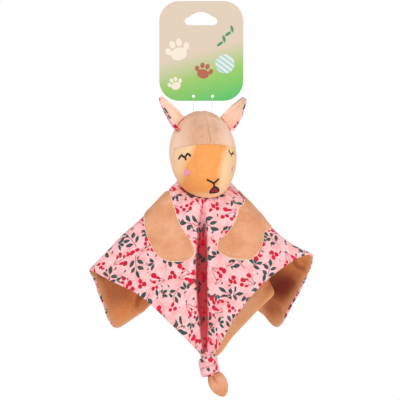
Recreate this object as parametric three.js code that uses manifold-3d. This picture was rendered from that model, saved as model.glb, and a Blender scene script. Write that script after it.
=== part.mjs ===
// Plush llama comforter hanging from its header card.
// Millimetres, +Z up, the face looks towards -Y. The origin is the top edge of the
// card's hanging slot, where a peg carries the whole thing.

import * as THREE from 'three';
import { mergeVertices } from 'three/addons/utils/BufferGeometryUtils.js';
import Module from 'manifold-3d';

const wasm = await Module();
wasm.setup();

// Driving dimensions

// Clearances and shared counts
const seamGap = 0.3;
const flapClearance = 0.5;
const weldGap = 1e-4;
const sliverGap = 0.02;
const threadSides = 6;

// Header card
const cardWidth = 84;
const cardHeight = 99.8;
const cardThick = 1.2;
const cardCorner = 20;
const cardTopAbovePeg = 10.9;
const cardAside = 0.3;
const slotWidth = 32.5;
const slotHeight = 13.3;
const slotEndRadius = 4;
const slotHoodHalfWidth = 10.7;
const slotHoodDrop = 4;
const slotSteps = 6;
const loopHoleRadius = 1.6;
const loopHoleAboveEdge = 4.5;
const loopOffset = 9.5;

// Nylon loops
const loopThread = 0.9;
const loopDepth = 3.6;
const loopPinchShare = 0.8;
const loopSteps = 7;

// Head
const headAside = 2;
const headForward = 2;
const headBelowCard = 8.5;
const headTurn = THREE.MathUtils.degToRad(14);
const headHalfWidth = 33.5;
const headHalfDepth = 33;
const headHalfLength = 45;
const headLean = THREE.MathUtils.degToRad(20);
const muzzleLength = 11;
const muzzleDrop = THREE.MathUtils.degToRad(38);
const muzzleSpread = THREE.MathUtils.degToRad(30);
const skinThick = 1.2;
const headSides = 30;
const headRows = 18;
const browHeight = 10;
const browSlope = THREE.MathUtils.degToRad(12);
const sideSeamForward = 6;
const sideSeamLean = THREE.MathUtils.degToRad(6);

// Squeaker in the stuffing
const squeakerRadius = 15;
const squeakerThick = 15;
const squeakerWall = 1;
const reedRadius = 3.5;
const reedBore = 1.6;
const reedLength = 8;
const squeakerLift = 2;
const roundSteps = 16;

// Embroidered face
const threadRadius = 0.55;
const stitchSteps = 4;
const eyeWidth = 7.5;
const eyeSag = 3;
const lashLength = 3.2;
const lashShares = [-0.8, -0.05, 0.75];
const eyeAzimuth = THREE.MathUtils.degToRad(44.5);
const eyeElevation = THREE.MathUtils.degToRad(-1);
const cheekRadius = 3.6;
const cheekThick = 0.5;
const cheekAzimuth = THREE.MathUtils.degToRad(40);
const cheekElevation = THREE.MathUtils.degToRad(-28);
const noseWidth = 10.5;
const noseHeight = 4;
const noseStem = 4;
const noseElevation = THREE.MathUtils.degToRad(-36);
const mouthWidth = 10;
const mouthHeight = 6;
const mouthBelowNose = 4.2;
const mouthTopShare = 0.6;
const mouthBottomShare = 0.45;
const patchSides = 16;
const patchRows = 3;

// Ears
const earLength = 34;
const earHalfWidth = 11;
const earLayer = 1;
const earRootDepth = 6;
const earRows = 9;
const earColumns = 8;
const earCurlInner = THREE.MathUtils.degToRad(45);
const earCurlOuter = THREE.MathUtils.degToRad(125);
const earFlap = THREE.MathUtils.degToRad(20);
const earSpread = THREE.MathUtils.degToRad(39);
const earRootX = 22;
const earRootY = 3;
const earRootZ = 30.5;
const earFootShare = 0.24;
const earTipShare = 0.97;
const earFullShare = 0.8;

// Neck
const neckBehindHead = 2;
const neckInsideHead = 7.4;
const neckTilt = THREE.MathUtils.degToRad(24);
const sleeveRadius = 15;
const sleeveThick = 1.2;
const sleeveHeight = 6;
const collarRadius = 27;

// Blanket
const layerThick = 1;
const skirtHalfWidth = 110;
const skirtDepth = 100;
const skirtDrop = 160;
const columnSpread = THREE.MathUtils.degToRad(7.6);
const shoulderRows = 3;
const skirtRows = 4;
const crestShare = 1 / 3;
const middleShare = 2 / 3;

// Sewn-on paws
const pawThick = 1.1;
const pawCutReach = 3;
const pawRows = 5;
const pawSides = 28;

// Knot and tail
const knotBesideHem = 0.2;
const knotBeforeHem = 2.5;
const knotBelowHem = 4.4;
const knotDome = 3.5;
const knotDrop = 21;
const knotRadius = 10;
const knotBandHeight = 17;
const knotShoulderShare = 0.85;
const knotCoreRadius = 4.6;
const knotLean = THREE.MathUtils.degToRad(-13);
const tailLength = 24;
const tailHalfWidth = 8;
const tailThick = 5;
const tailTaperShare = 0.35;
const tailLean = THREE.MathUtils.degToRad(24);

// Colours, roughness
const finishes = {
  card: [0xd7c5b2, 0.75],
  nylon: [0xeef2f4, 0.25],
  crown: [0xe4bb9f, 0.95],
  face: [0xf6a55d, 0.95],
  stuffing: [0xf3efe6, 1],
  squeaker: [0xf2f2ee, 0.4],
  eyeThread: [0x3a1a14, 0.6],
  cheekThread: [0xfaa2c6, 0.5],
  mouthThread: [0xb01343, 0.55],
  velour: [0xdaa077, 0.95],
  print: [0xf4a99e, 0.85],
  paw: [0xe8a881, 0.95],
};

// Shared shaping

const X = new THREE.Vector3(1, 0, 0);
const Y = new THREE.Vector3(0, 1, 0);
const Z = new THREE.Vector3(0, 0, 1);
const flanks = { left: -1, right: 1 };

// A triangle list as a mesh geometry with its equal corners merged.
function closedGeometry(points, faces) {
  const geometry = new THREE.BufferGeometry();
  geometry.setAttribute('position', new THREE.Float32BufferAttribute(points.flatMap((p) => p.toArray()), 3));
  geometry.setIndex(faces);
  return geometry;
}

// The triangles whose three corners differ: a pole or an axis leaves empty ones.
function realTriangles(corners) {
  const kept = [];
  for (let k = 0; k < corners.length; k += 3) {
    const [a, b, c] = corners.slice(k, k + 3);
    if (a !== b && b !== c && c !== a) kept.push(a, b, c);
  }
  return kept;
}

function toSolid(geometry) {
  const bare = geometry.clone();
  bare.deleteAttribute('normal');
  bare.deleteAttribute('uv');
  const merged = mergeVertices(bare, weldGap);
  return new wasm.Manifold(new wasm.Mesh({
    numProp: 3,
    vertProperties: new Float32Array(merged.attributes.position.array),
    triVerts: new Uint32Array(realTriangles(merged.index.array)),
  }));
}

function fromSolid(solid) {
  const mesh = solid.simplify(sliverGap).getMesh();
  const geometry = new THREE.BufferGeometry();
  geometry.setAttribute('position', new THREE.BufferAttribute(mesh.vertProperties, 3));
  geometry.setIndex(new THREE.BufferAttribute(mesh.triVerts, 1));
  return geometry;
}

function finish([colour, roughness]) {
  return new THREE.MeshStandardMaterial({ color: colour, roughness, metalness: 0 });
}

const toy = new THREE.Group();

function add(name, geometry, look) {
  const mesh = new THREE.Mesh(geometry, finish(look));
  mesh.name = name;
  toy.add(mesh);
  return mesh;
}

// The direction square to a grid of points at each of them.
function gridNormals(grid, wraps) {
  const rows = grid.length;
  const columns = grid[0].length;
  return grid.map((row, i) => row.map((point, j) => {
    const left = wraps ? row[(j + columns - 1) % columns] : row[Math.max(j - 1, 0)];
    const right = wraps ? row[(j + 1) % columns] : row[Math.min(j + 1, columns - 1)];
    const before = grid[Math.max(i - 1, 0)][j];
    const after = grid[Math.min(i + 1, rows - 1)][j];
    return right.clone().sub(left).cross(after.clone().sub(before)).normalize();
  }));
}

// One layer of cloth: the sheet between two offsets of a grid of points.
function sheet(grid, near, far, wraps = false, centre = null) {
  const rows = grid.length;
  const columns = grid[0].length;
  const normals = gridNormals(grid, wraps);
  const points = [];
  for (const offset of [near, far]) {
    grid.forEach((row, i) => row.forEach((point, j) => {
      points.push(point.clone().addScaledVector(normals[i][j], offset));
    }));
    if (centre) points.push(centre.point.clone().addScaledVector(centre.normal, offset));
  }
  const layer = rows * columns + (centre ? 1 : 0);
  const at = (side, i, j) => side * layer + i * columns + (j % columns);
  const spans = wraps ? columns : columns - 1;
  const faces = [];
  const quad = (a, b, c, d) => faces.push(a, b, c, a, c, d);
  for (let i = 0; i < rows - 1; i += 1) {
    for (let j = 0; j < spans; j += 1) {
      quad(at(1, i, j), at(1, i, j + 1), at(1, i + 1, j + 1), at(1, i + 1, j));
      quad(at(0, i, j), at(0, i + 1, j), at(0, i + 1, j + 1), at(0, i, j + 1));
    }
  }
  for (let j = 0; j < spans; j += 1) {
    quad(at(0, rows - 1, j), at(1, rows - 1, j), at(1, rows - 1, j + 1), at(0, rows - 1, j + 1));
    if (centre) {
      faces.push(at(1, 0, j), layer * 2 - 1, at(1, 0, j + 1));
      faces.push(at(0, 0, j), at(0, 0, j + 1), layer - 1);
    } else {
      quad(at(1, 0, j), at(0, 0, j), at(0, 0, j + 1), at(1, 0, j + 1));
    }
  }
  if (!wraps) {
    for (let i = 0; i < rows - 1; i += 1) {
      quad(at(0, i, 0), at(1, i, 0), at(1, i + 1, 0), at(0, i + 1, 0));
      const end = columns - 1;
      quad(at(1, i, end), at(0, i, end), at(0, i + 1, end), at(1, i + 1, end));
    }
  }
  return closedGeometry(points, faces);
}

// A thread of round section along a list of points, or round a ring of them.
function threadRing(points, radius, steps) {
  const path = new THREE.CatmullRomCurve3(points, true, 'centripetal');
  return new THREE.TubeGeometry(path, steps, radius, threadSides, true);
}

function thread(points, radius, steps) {
  const path = new THREE.CatmullRomCurve3(points, false, 'centripetal');
  const section = new THREE.Shape();
  for (let k = 0; k < threadSides; k += 1) {
    const turn = (k / threadSides) * 2 * Math.PI;
    const place = [radius * Math.cos(turn), radius * Math.sin(turn)];
    if (k === 0) section.moveTo(...place);
    else section.lineTo(...place);
  }
  return new THREE.ExtrudeGeometry(section, { steps, extrudePath: path, bevelEnabled: false });
}

function join(solids) {
  return solids.reduce((whole, next) => whole.add(next));
}

// Header card

const cardBottom = cardTopAbovePeg - cardHeight;
const headCentre = new THREE.Vector3(headAside, -headForward, cardBottom - headBelowCard - headHalfLength);

function roundedRectangle(left, bottom, width, height, radius) {
  const shape = new THREE.Shape();
  shape.moveTo(left + radius, bottom);
  shape.lineTo(left + width - radius, bottom);
  shape.absarc(left + width - radius, bottom + radius, radius, -Math.PI / 2, 0);
  shape.lineTo(left + width, bottom + height - radius);
  shape.absarc(left + width - radius, bottom + height - radius, radius, 0, Math.PI / 2);
  shape.lineTo(left + radius, bottom + height);
  shape.absarc(left + radius, bottom + height - radius, radius, Math.PI / 2, Math.PI);
  shape.lineTo(left, bottom + radius);
  shape.absarc(left + radius, bottom + radius, radius, Math.PI, 1.5 * Math.PI);
  return shape;
}

// The usual peg slot: a flat bottom, round ends and a hood in the middle for a single hook.
function pegSlot() {
  const half = slotWidth / 2;
  const slot = new THREE.Path();
  slot.moveTo(-half + slotEndRadius, -slotHeight);
  slot.lineTo(half - slotEndRadius, -slotHeight);
  slot.absarc(half - slotEndRadius, -slotHeight + slotEndRadius, slotEndRadius, -Math.PI / 2, Math.PI / 2);
  slot.lineTo(slotHoodHalfWidth, -slotHoodDrop);
  slot.quadraticCurveTo(slotHoodHalfWidth / 2, 0, 0, 0);
  slot.quadraticCurveTo(-slotHoodHalfWidth / 2, 0, -slotHoodHalfWidth, -slotHoodDrop);
  slot.lineTo(-half + slotEndRadius, -slotHeight + 2 * slotEndRadius);
  slot.absarc(-half + slotEndRadius, -slotHeight + slotEndRadius, slotEndRadius, Math.PI / 2, 1.5 * Math.PI);
  return slot;
}

const loopHoleZ = cardBottom + loopHoleAboveEdge;
const loopPlaces = { left: headCentre.x - loopOffset, right: headCentre.x + loopOffset };

function cardBlank() {
  const outline = roundedRectangle(cardAside - cardWidth / 2, cardBottom, cardWidth, cardHeight, cardCorner);
  outline.holes.push(pegSlot());
  for (const x of Object.values(loopPlaces)) {
    const hole = new THREE.Path();
    hole.absarc(x, loopHoleZ, loopHoleRadius, 0, 2 * Math.PI);
    outline.holes.push(hole);
  }
  const blank = new THREE.ExtrudeGeometry(outline, {
    depth: cardThick, bevelEnabled: false, curveSegments: slotSteps,
  });
  blank.rotateX(Math.PI / 2);
  blank.translate(0, cardThick / 2, 0);
  return blank;
}

add('header_card', cardBlank(), finishes.card);

// Head

// How far the stuffed head reaches from its centre in a direction of its own frame.
const muzzleWay = new THREE.Vector3(0, -Math.cos(muzzleDrop), -Math.sin(muzzleDrop));

function headReach(way) {
  const along = way.y * Math.sin(headLean) + way.z * Math.cos(headLean);
  const fore = way.y * Math.cos(headLean) - way.z * Math.sin(headLean);
  const round = 1 / Math.hypot(way.x / headHalfWidth, fore / headHalfDepth, along / headHalfLength);
  const off = way.angleTo(muzzleWay) / muzzleSpread;
  return round + muzzleLength * Math.exp(-off * off);
}

// A direction of the head frame, given by its turn to the side and its height.
function headWay(azimuth, elevation) {
  const flat = Math.cos(elevation);
  return new THREE.Vector3(flat * Math.sin(azimuth), -flat * Math.cos(azimuth), Math.sin(elevation));
}

function onHead(way, lift) {
  return way.clone().multiplyScalar(headReach(way) + lift);
}

const headPlace = new THREE.Matrix4().makeRotationZ(headTurn).setPosition(headCentre);

function headForm(lift) {
  const ball = new THREE.SphereGeometry(1, headSides, headRows);
  ball.rotateX(Math.PI / 2);
  const position = ball.attributes.position;
  const way = new THREE.Vector3();
  for (let i = 0; i < position.count; i += 1) {
    way.fromBufferAttribute(position, i).normalize();
    position.setXYZ(i, ...onHead(way, lift).toArray());
  }
  return toSolid(ball);
}

// A block that covers everything on one side of a plane through a point of the head frame.
function halfSpace(point, normal) {
  const reach = 4 * headHalfLength;
  const block = new THREE.BoxGeometry(reach, reach, reach);
  block.translate(0, 0, reach / 2);
  block.applyQuaternion(new THREE.Quaternion().setFromUnitVectors(Z, normal.clone().normalize()));
  block.translate(...point.toArray());
  return toSolid(block);
}

const headBack = headPlace.clone().invert();
const neckRise = neckInsideHead - headHalfLength;
const neckCentre = headCentre.clone().add(new THREE.Vector3(0, neckBehindHead, neckRise));
const neckUp = new THREE.Vector3(0, -Math.sin(neckTilt), Math.cos(neckTilt));
const neckPlanePoint = neckCentre.clone().addScaledVector(neckUp, sleeveHeight);
const neckInHead = neckPlanePoint.clone().applyMatrix4(headBack);
const neckUpInHead = neckUp.clone().transformDirection(headBack);
const aboveNeck = halfSpace(neckInHead, neckUpInHead);

const headOuter = headForm(0).intersect(aboveNeck);
const headInner = headForm(-skinThick);
const skin = headOuter.subtract(headInner);

// The face panel is bounded by a brow seam and, at each side, by a seam down to the neck.
const browPoint = new THREE.Vector3(0, -headHalfDepth, browHeight);
const underBrow = new THREE.Vector3(0, -Math.sin(browSlope), -Math.cos(browSlope));
const sidePoint = new THREE.Vector3(0, -sideSeamForward, 0);
const beforeSide = new THREE.Vector3(0, -Math.cos(sideSeamLean), -Math.sin(sideSeamLean));
const halfSeam = seamGap / 2;

function seamSide(point, way, shift) {
  return halfSpace(point.clone().addScaledVector(way, shift), shift > 0 ? way : way.clone().negate());
}

const faceSide = seamSide(browPoint, underBrow, halfSeam)
  .intersect(seamSide(sidePoint, beforeSide, halfSeam));
const crownSide = seamSide(browPoint, underBrow, -halfSeam)
  .add(seamSide(sidePoint, beforeSide, -halfSeam));
const rightSide = halfSpace(new THREE.Vector3(halfSeam, 0, 0), X);
const leftSide = halfSpace(new THREE.Vector3(-halfSeam, 0, 0), X.clone().negate());

function addOnHead(name, geometry, look) {
  geometry.applyMatrix4(headPlace);
  return add(name, geometry, look);
}

addOnHead('head_face', fromSolid(skin.intersect(faceSide)), finishes.face);
addOnHead('head_crown_left', fromSolid(skin.intersect(crownSide).intersect(leftSide)), finishes.crown);
addOnHead('head_crown_right', fromSolid(skin.intersect(crownSide).intersect(rightSide)), finishes.crown);

// Squeaker: a hollow bulb with a reed tube in its mouth, lying in the stuffing.
const bulbHalf = squeakerThick / 2;
const reedMouth = reedRadius + seamGap;

// A turned piece from its outline of radii and heights.
function turned(outline, steps = roundSteps) {
  const geometry = new THREE.LatheGeometry(outline.map(([r, z]) => new THREE.Vector2(r, z)), steps);
  geometry.rotateX(Math.PI / 2);
  return fromSolid(toSolid(geometry));
}

function bulbSide(reach, half) {
  return [
    [0, -half], [reach / 2, -half], [reach, -half / 2],
    [reach, half / 2], [reach / 2, half], [reedMouth, half],
  ];
}

const bulbOutline = [
  ...bulbSide(squeakerRadius, bulbHalf),
  ...bulbSide(squeakerRadius - squeakerWall, bulbHalf - squeakerWall).reverse(),
];
const reedOutline = [
  [reedBore, bulbHalf - reedLength / 2],
  [reedRadius, bulbHalf - reedLength / 2],
  [reedRadius, bulbHalf + reedLength / 2],
  [reedBore, bulbHalf + reedLength / 2],
  [reedBore, bulbHalf - reedLength / 2],
];
const squeakerPlace = new THREE.Matrix4().makeTranslation(0, 0, squeakerLift);

function addInHead(name, geometry, look) {
  geometry.applyMatrix4(squeakerPlace);
  return addOnHead(name, geometry, look);
}

addInHead('squeaker_bulb', turned(bulbOutline), finishes.squeaker);
addInHead('squeaker_reed', turned(reedOutline), finishes.squeaker);

// The stuffing fills the skin and leaves a pocket for the squeaker, entered from the neck.
function stuffing() {
  const reedTop = bulbHalf + reedLength / 2 + seamGap;
  const pocketReach = squeakerRadius + seamGap;
  const pocketHalf = bulbHalf + seamGap;
  const pocketSide = [
    [0, -pocketHalf], [squeakerRadius / 2, -pocketHalf], [pocketReach, -bulbHalf / 2],
    [pocketReach, bulbHalf / 2], [squeakerRadius / 2, pocketHalf],
    [reedMouth, pocketHalf], [reedMouth, reedTop], [0, reedTop],
  ];
  const pocket = turned(pocketSide);
  pocket.applyMatrix4(squeakerPlace);
  const channel = new THREE.CylinderGeometry(reedMouth, reedMouth, 2 * headHalfLength, roundSteps);
  channel.rotateX(Math.PI / 2);
  channel.translate(0, 0, -headHalfLength);
  const body = headForm(-skinThick - seamGap).intersect(aboveNeck);
  return body.subtract(toSolid(pocket)).subtract(toSolid(channel));
}

addOnHead('head_stuffing', fromSolid(stuffing()), finishes.stuffing);

// Embroidered face. A spot on the face gives points by their offset to the side and up.
const threadLift = threadRadius + seamGap;

function faceSpot(azimuth, elevation) {
  const reach = headReach(headWay(azimuth, elevation));
  return (side, up, lift = threadLift) => {
    const way = headWay(azimuth + side / (reach * Math.cos(elevation)), elevation + up / reach);
    return onHead(way, lift);
  };
}

function stitchedLine(spot, places) {
  return toSolid(thread(places.map(([side, up]) => spot(side, up)), threadRadius, stitchSteps));
}

// A closed eye: a lid that sags in the middle, with three lashes.

for (const [name, side] of Object.entries(flanks)) {
  const spot = faceSpot(side * eyeAzimuth, eyeElevation);
  const half = eyeWidth / 2;
  const lidHeight = (share) => eyeSag * (share * share - 1 / 2);
  const lid = [-1, -1 / 2, 0, 1 / 2, 1].map((share) => [share * half, lidHeight(share)]);
  const lashes = lashShares.map((share) => {
    const foot = [share * half, lidHeight(share)];
    return [foot, [foot[0] + share * lashLength, foot[1] - lashLength * (1 - Math.abs(share) / 2)]];
  });
  const lines = [lid, ...lashes].map((line) => stitchedLine(spot, line));
  addOnHead(`eye_${name}`, fromSolid(join(lines)), finishes.eyeThread);
}

// A flat spot of satin stitch with the given outline.
function satinSpot(spot, outline) {
  const grid = [];
  for (let row = 1; row <= patchRows; row += 1) {
    grid.push(outline.map(([side, up]) => spot((side * row) / patchRows, (up * row) / patchRows, 0)));
  }
  const centre = spot(0, 0, 0);
  const middle = { point: centre, normal: centre.clone().normalize() };
  return sheet(grid, seamGap, seamGap + cheekThick, true, middle);
}

// Places round a spot, clockwise as seen from outside.
function roundPlaces(width, height, bottomShare = 1) {
  return Array.from({ length: patchSides }, (_, k) => {
    const turn = (-k / patchSides) * 2 * Math.PI;
    const up = Math.sin(turn) * height;
    return [Math.cos(turn) * width, up < 0 ? up * bottomShare : up];
  });
}

for (const [name, side] of Object.entries(flanks)) {
  const spot = faceSpot(side * cheekAzimuth, cheekElevation);
  addOnHead(`cheek_${name}`, satinSpot(spot, roundPlaces(cheekRadius, cheekRadius)), finishes.cheekThread);
}

const noseSpot = faceSpot(0, noseElevation);
const noseHalf = noseWidth / 2;
const nose = [
  [[-noseHalf, noseHeight], [-noseHalf / 2, noseHeight / 3], [0, 0]],
  [[noseHalf, noseHeight], [noseHalf / 2, noseHeight / 3], [0, 0]],
  [[0, 0], [0, -noseStem / 2], [0, -noseStem]],
];
const noseLines = nose.map((line) => stitchedLine(noseSpot, line));
addOnHead('nose_stitch', fromSolid(join(noseLines)), finishes.eyeThread);

// A smiling half-round mouth: a dark outline round a satin tongue.
const mouthSpot = (side, up, lift) => noseSpot(side, up - noseStem - mouthBelowNose, lift);
const mouthRing = roundPlaces(mouthWidth / 2, mouthHeight * mouthTopShare, mouthBottomShare);
const tongueInset = 2 * threadRadius + seamGap;
const tongueShare = 1 - tongueInset / (mouthHeight * mouthBottomShare);
const mouthLine = mouthRing.map(([side, up]) => mouthSpot(side, up));
const mouthThread = toSolid(threadRing(mouthLine, threadRadius, patchSides * 2));
addOnHead('mouth_outline', fromSolid(mouthThread), finishes.eyeThread);
addOnHead('mouth_tongue', satinSpot(
  mouthSpot,
  mouthRing.map(([side, up]) => [side * tongueShare, up * tongueShare]),
), finishes.mouthThread);

// Ears: a velour lining and a printed back, sewn together and curled round their length.
const earRoot = new THREE.Vector3(earRootX, earRootY, earRootZ);
const earWay = new THREE.Vector3(Math.sin(earSpread), 0, Math.cos(earSpread));
const earAcross = new THREE.Vector3(Math.cos(earSpread), 0, -Math.sin(earSpread));

function earGrid(side) {
  const curl = earCurlInner + earCurlOuter;
  const grid = [];
  for (let i = 0; i <= earRows; i += 1) {
    const share = i / earRows;
    const along = earFootShare + (earTipShare - earFootShare) * share;
    const half = earHalfWidth * Math.sin(Math.PI * along) ** earFullShare;
    const bend = (2 * half) / curl;
    const foot = earRoot.clone().addScaledVector(earWay, share * (earLength + earRootDepth) - earRootDepth);
    const row = [];
    for (let j = 0; j <= earColumns; j += 1) {
      const turn = -earCurlInner + (curl * j) / earColumns;
      const point = foot.clone()
        .addScaledVector(earAcross, bend * Math.sin(turn))
        .addScaledVector(Y, -bend * (1 - Math.cos(turn)));
      point.x *= side;
      row.push(point);
    }
    grid.push(side > 0 ? row.reverse() : row);
  }
  return grid;
}

// The head as the ear must clear it, turned about the ear's seam.
function headTurnedAtEar(side, angle) {
  const hinge = earRoot.clone().multiply(new THREE.Vector3(side, 1, 1));
  const seam = earAcross.clone().multiply(new THREE.Vector3(side, 1, 1));
  const turn = new THREE.Matrix4().makeTranslation(...hinge.toArray())
    .multiply(new THREE.Matrix4().makeRotationAxis(seam, angle))
    .multiply(new THREE.Matrix4().makeTranslation(...hinge.clone().negate().toArray()));
  const ball = fromSolid(headForm(flapClearance));
  ball.applyMatrix4(turn);
  return toSolid(ball);
}

for (const [name, side] of Object.entries(flanks)) {
  const flaps = [-earFlap, -earFlap / 2, 0, earFlap / 2, earFlap];
  const clear = join(flaps.map((angle) => headTurnedAtEar(side, angle)));
  const grid = earGrid(side);
  const lining = toSolid(sheet(grid, -earLayer - halfSeam, -halfSeam)).subtract(clear);
  const back = toSolid(sheet(grid, halfSeam, earLayer + halfSeam)).subtract(clear);
  addOnHead(`ear_${name}_velour`, fromSolid(lining), finishes.crown);
  addOnHead(`ear_${name}_print`, fromSolid(back), finishes.print);
}

// Nylon loops: each runs through a hole of the card and down to the crown's seam.
for (const [name, x] of Object.entries(loopPlaces)) {
  const side = (x - headCentre.x) * Math.cos(headTurn);
  const crownWay = new THREE.Vector3(side, 0, Math.sqrt(headHalfLength ** 2 - side ** 2)).normalize();
  const crown = onHead(crownWay, 0).applyMatrix4(headPlace);
  const foot = crown.z + seamGap + loopThread;
  const top = loopHoleZ + (loopHoleRadius - loopThread) / 2;
  const half = loopDepth / 2;
  const rear = [
    [loopThread, foot], [half, cardBottom], [half, loopHoleZ - loopHoleRadius],
    [half * loopPinchShare, loopHoleZ],
  ];
  const front = rear.map(([y, z]) => [-y, z]).reverse();
  const places = [[0, foot - loopThread / 2], ...rear, [0, top], ...front];
  const ring = places.map(([y, z]) => new THREE.Vector3(x, y, z));
  ring.forEach((point) => {
    const low = (loopHoleZ - point.z) / (loopHoleZ - foot);
    point.y += crown.y * Math.max(low, 0) ** 2;
  });
  const strand = toSolid(threadRing(ring, loopThread / 2, 2 * loopSteps));
  add(`tag_loop_${name}`, fromSolid(strand), finishes.nylon);
}

// Neck sleeve: the short velour tube that joins the head's opening to the blanket.
const sleeve = turned([
  [sleeveRadius - sleeveThick, seamGap],
  [sleeveRadius, seamGap],
  [sleeveRadius, sleeveHeight - seamGap],
  [sleeveRadius - sleeveThick, sleeveHeight - seamGap],
  [sleeveRadius - sleeveThick, seamGap],
]);
sleeve.applyQuaternion(new THREE.Quaternion().setFromUnitVectors(Z, neckUp));
sleeve.translate(...neckCentre.toArray());
add('neck_sleeve', sleeve, finishes.velour);

// Blanket. It hangs from the neck in folds. Each row gives a fold line: its angle round the
// neck from the front corner, then the shares of the skirt's half width, depth and drop
// that it has reached halfway down and at the hem.
const foldShares = [
  [0, [0.03, -0.20, -0.51], [0.03, -0.29, -0.985]],
  [6, [-0.07, -0.35, -0.51], [0.00, -0.33, -0.99]],
  [17, [-0.22, -0.42, -0.50], [-0.24, -0.40, -0.85]],
  [30, [-0.40, -0.43, -0.44], [-0.55, -0.40, -0.65]],
  [43, [-0.56, -0.36, -0.33], [-0.85, -0.33, -0.545]],
  [54, [-0.62, -0.26, -0.23], [-1.02, -0.24, -0.485]],
  [62, [-0.62, -0.12, -0.21], [-1.00, -0.06, -0.54]],
  [76, [-0.57, 0.08, -0.19], [-0.92, 0.26, -0.71]],
  [90, [-0.49, 0.28, -0.19], [-0.825, 0.58, -0.86]],
  [104, [-0.40, 0.42, -0.21], [-0.61, 0.60, -0.79]],
  [120, [-0.31, 0.42, -0.21], [-0.46, 0.52, -0.69]],
  [135, [-0.29, 0.52, -0.17], [-0.45, 0.84, -0.56]],
  [150, [-0.20, 0.42, -0.24], [-0.29, 0.62, -0.71]],
  [165, [-0.09, 0.34, -0.31], [-0.11, 0.44, -0.90]],
  [180, [0.01, 0.32, -0.36], [0.10, 0.30, -1.04]],
  [195, [0.13, 0.32, -0.31], [0.29, 0.23, -0.90]],
  [210, [0.25, 0.30, -0.26], [0.51, 0.20, -0.74]],
  [224, [0.36, 0.29, -0.20], [0.65, 0.22, -0.64]],
  [235, [0.36, 0.36, -0.19], [0.55, 0.44, -0.62]],
  [248, [0.37, 0.40, -0.19], [0.40, 0.68, -0.68]],
  [259, [0.41, 0.37, -0.20], [0.55, 0.70, -0.78]],
  [270, [0.44, 0.32, -0.19], [0.70, 0.60, -0.86]],
  [285, [0.56, 0.10, -0.20], [0.84, 0.30, -0.69]],
  [299, [0.68, -0.10, -0.27], [0.97, -0.04, -0.49]],
  [307, [0.72, -0.24, -0.30], [0.98, -0.26, -0.39]],
  [318, [0.58, -0.36, -0.34], [0.78, -0.34, -0.44]],
  [331, [0.35, -0.44, -0.42], [0.49, -0.42, -0.60]],
  [344, [0.20, -0.42, -0.51], [0.25, -0.39, -0.82]],
  [354, [0.07, -0.35, -0.51], [0.065, -0.33, -0.99]],
].map(([degrees, middle, hem]) => [THREE.MathUtils.degToRad(degrees), middle, hem]);
const fullTurn = 2 * Math.PI;
const skirtSize = new THREE.Vector3(skirtHalfWidth, skirtDepth, skirtDrop);

// A smooth value between the fold lines on either side of an angle.
function betweenFolds(angle, pick) {
  const count = foldShares.length;
  const wrapped = ((angle % fullTurn) + fullTurn) % fullTurn;
  const low = foldShares.findLastIndex((fold) => fold[0] <= wrapped);
  const fold = (k) => {
    const row = foldShares[(k + count) % count];
    return { at: row[0] + fullTurn * Math.floor(k / count), point: new THREE.Vector3(...pick(row)) };
  };
  const [a, b, c, d] = [fold(low - 1), fold(low), fold(low + 1), fold(low + 2)];
  const span = c.at - b.at;
  const slope = (from, to) => to.point.clone().sub(from.point).multiplyScalar(span / (to.at - from.at));
  const leave = slope(a, c);
  const arrive = slope(b, d);
  const s = (wrapped - b.at) / span;
  return b.point.clone().multiplyScalar((1 + 2 * s) * (1 - s) ** 2)
    .addScaledVector(c.point, s * s * (3 - 2 * s))
    .addScaledVector(leave, s * (1 - s) ** 2)
    .addScaledVector(arrive, -s * s * (1 - s));
}

const neckFront = new THREE.Vector3(0, -Math.cos(neckTilt), -Math.sin(neckTilt));
const clothLift = layerThick + halfSeam;

function aroundNeck(angle, radius) {
  return neckCentre.clone()
    .addScaledVector(X, -radius * Math.sin(angle))
    .addScaledVector(neckFront, radius * Math.cos(angle))
    .addScaledVector(neckUp, -clothLift);
}

// A point of the cloth, by its angle round the neck and its way down: 0 at the sleeve's
// ring, crestShare at the collar's crest, 1 at the hem.
function drape(angle, down) {
  const middle = betweenFolds(angle, (row) => row[1]).multiply(skirtSize).add(neckCentre);
  const hem = betweenFolds(angle, (row) => row[2]).multiply(skirtSize).add(neckCentre);
  const rib = [aroundNeck(angle, sleeveRadius), aroundNeck(angle, collarRadius), middle, hem];
  return new THREE.CatmullRomCurve3(rib, false, 'centripetal').getPoint(down);
}

function blanketColumns() {
  const columns = [];
  foldShares.forEach(([angle], k) => {
    const next = k + 1 < foldShares.length ? foldShares[k + 1][0] : fullTurn;
    const parts = Math.ceil((next - angle) / columnSpread);
    for (let part = 0; part < parts; part += 1) columns.push(angle + ((next - angle) * part) / parts);
  });
  return columns;
}

function blanketRows() {
  const rows = [0];
  const between = (from, to, share) => from + (to - from) * share;
  for (let k = 0; k <= shoulderRows; k += 1) rows.push(between(crestShare, middleShare, k / shoulderRows));
  for (let k = 1; k <= skirtRows; k += 1) rows.push(between(middleShare, 1, k / skirtRows));
  return rows;
}

const clothGrid = blanketRows().map((down) => blanketColumns().map((angle) => drape(angle, down)));
const clothCentre = { point: neckCentre.clone().addScaledVector(neckUp, -clothLift), normal: neckUp };

function blanketLayer(near, far) {
  return sheet(clothGrid, near, far, true, clothCentre);
}

add('blanket_print', blanketLayer(halfSeam, layerThick + halfSeam), finishes.print);
add('blanket_velour', blanketLayer(-layerThick - halfSeam, -halfSeam), finishes.velour);

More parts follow.
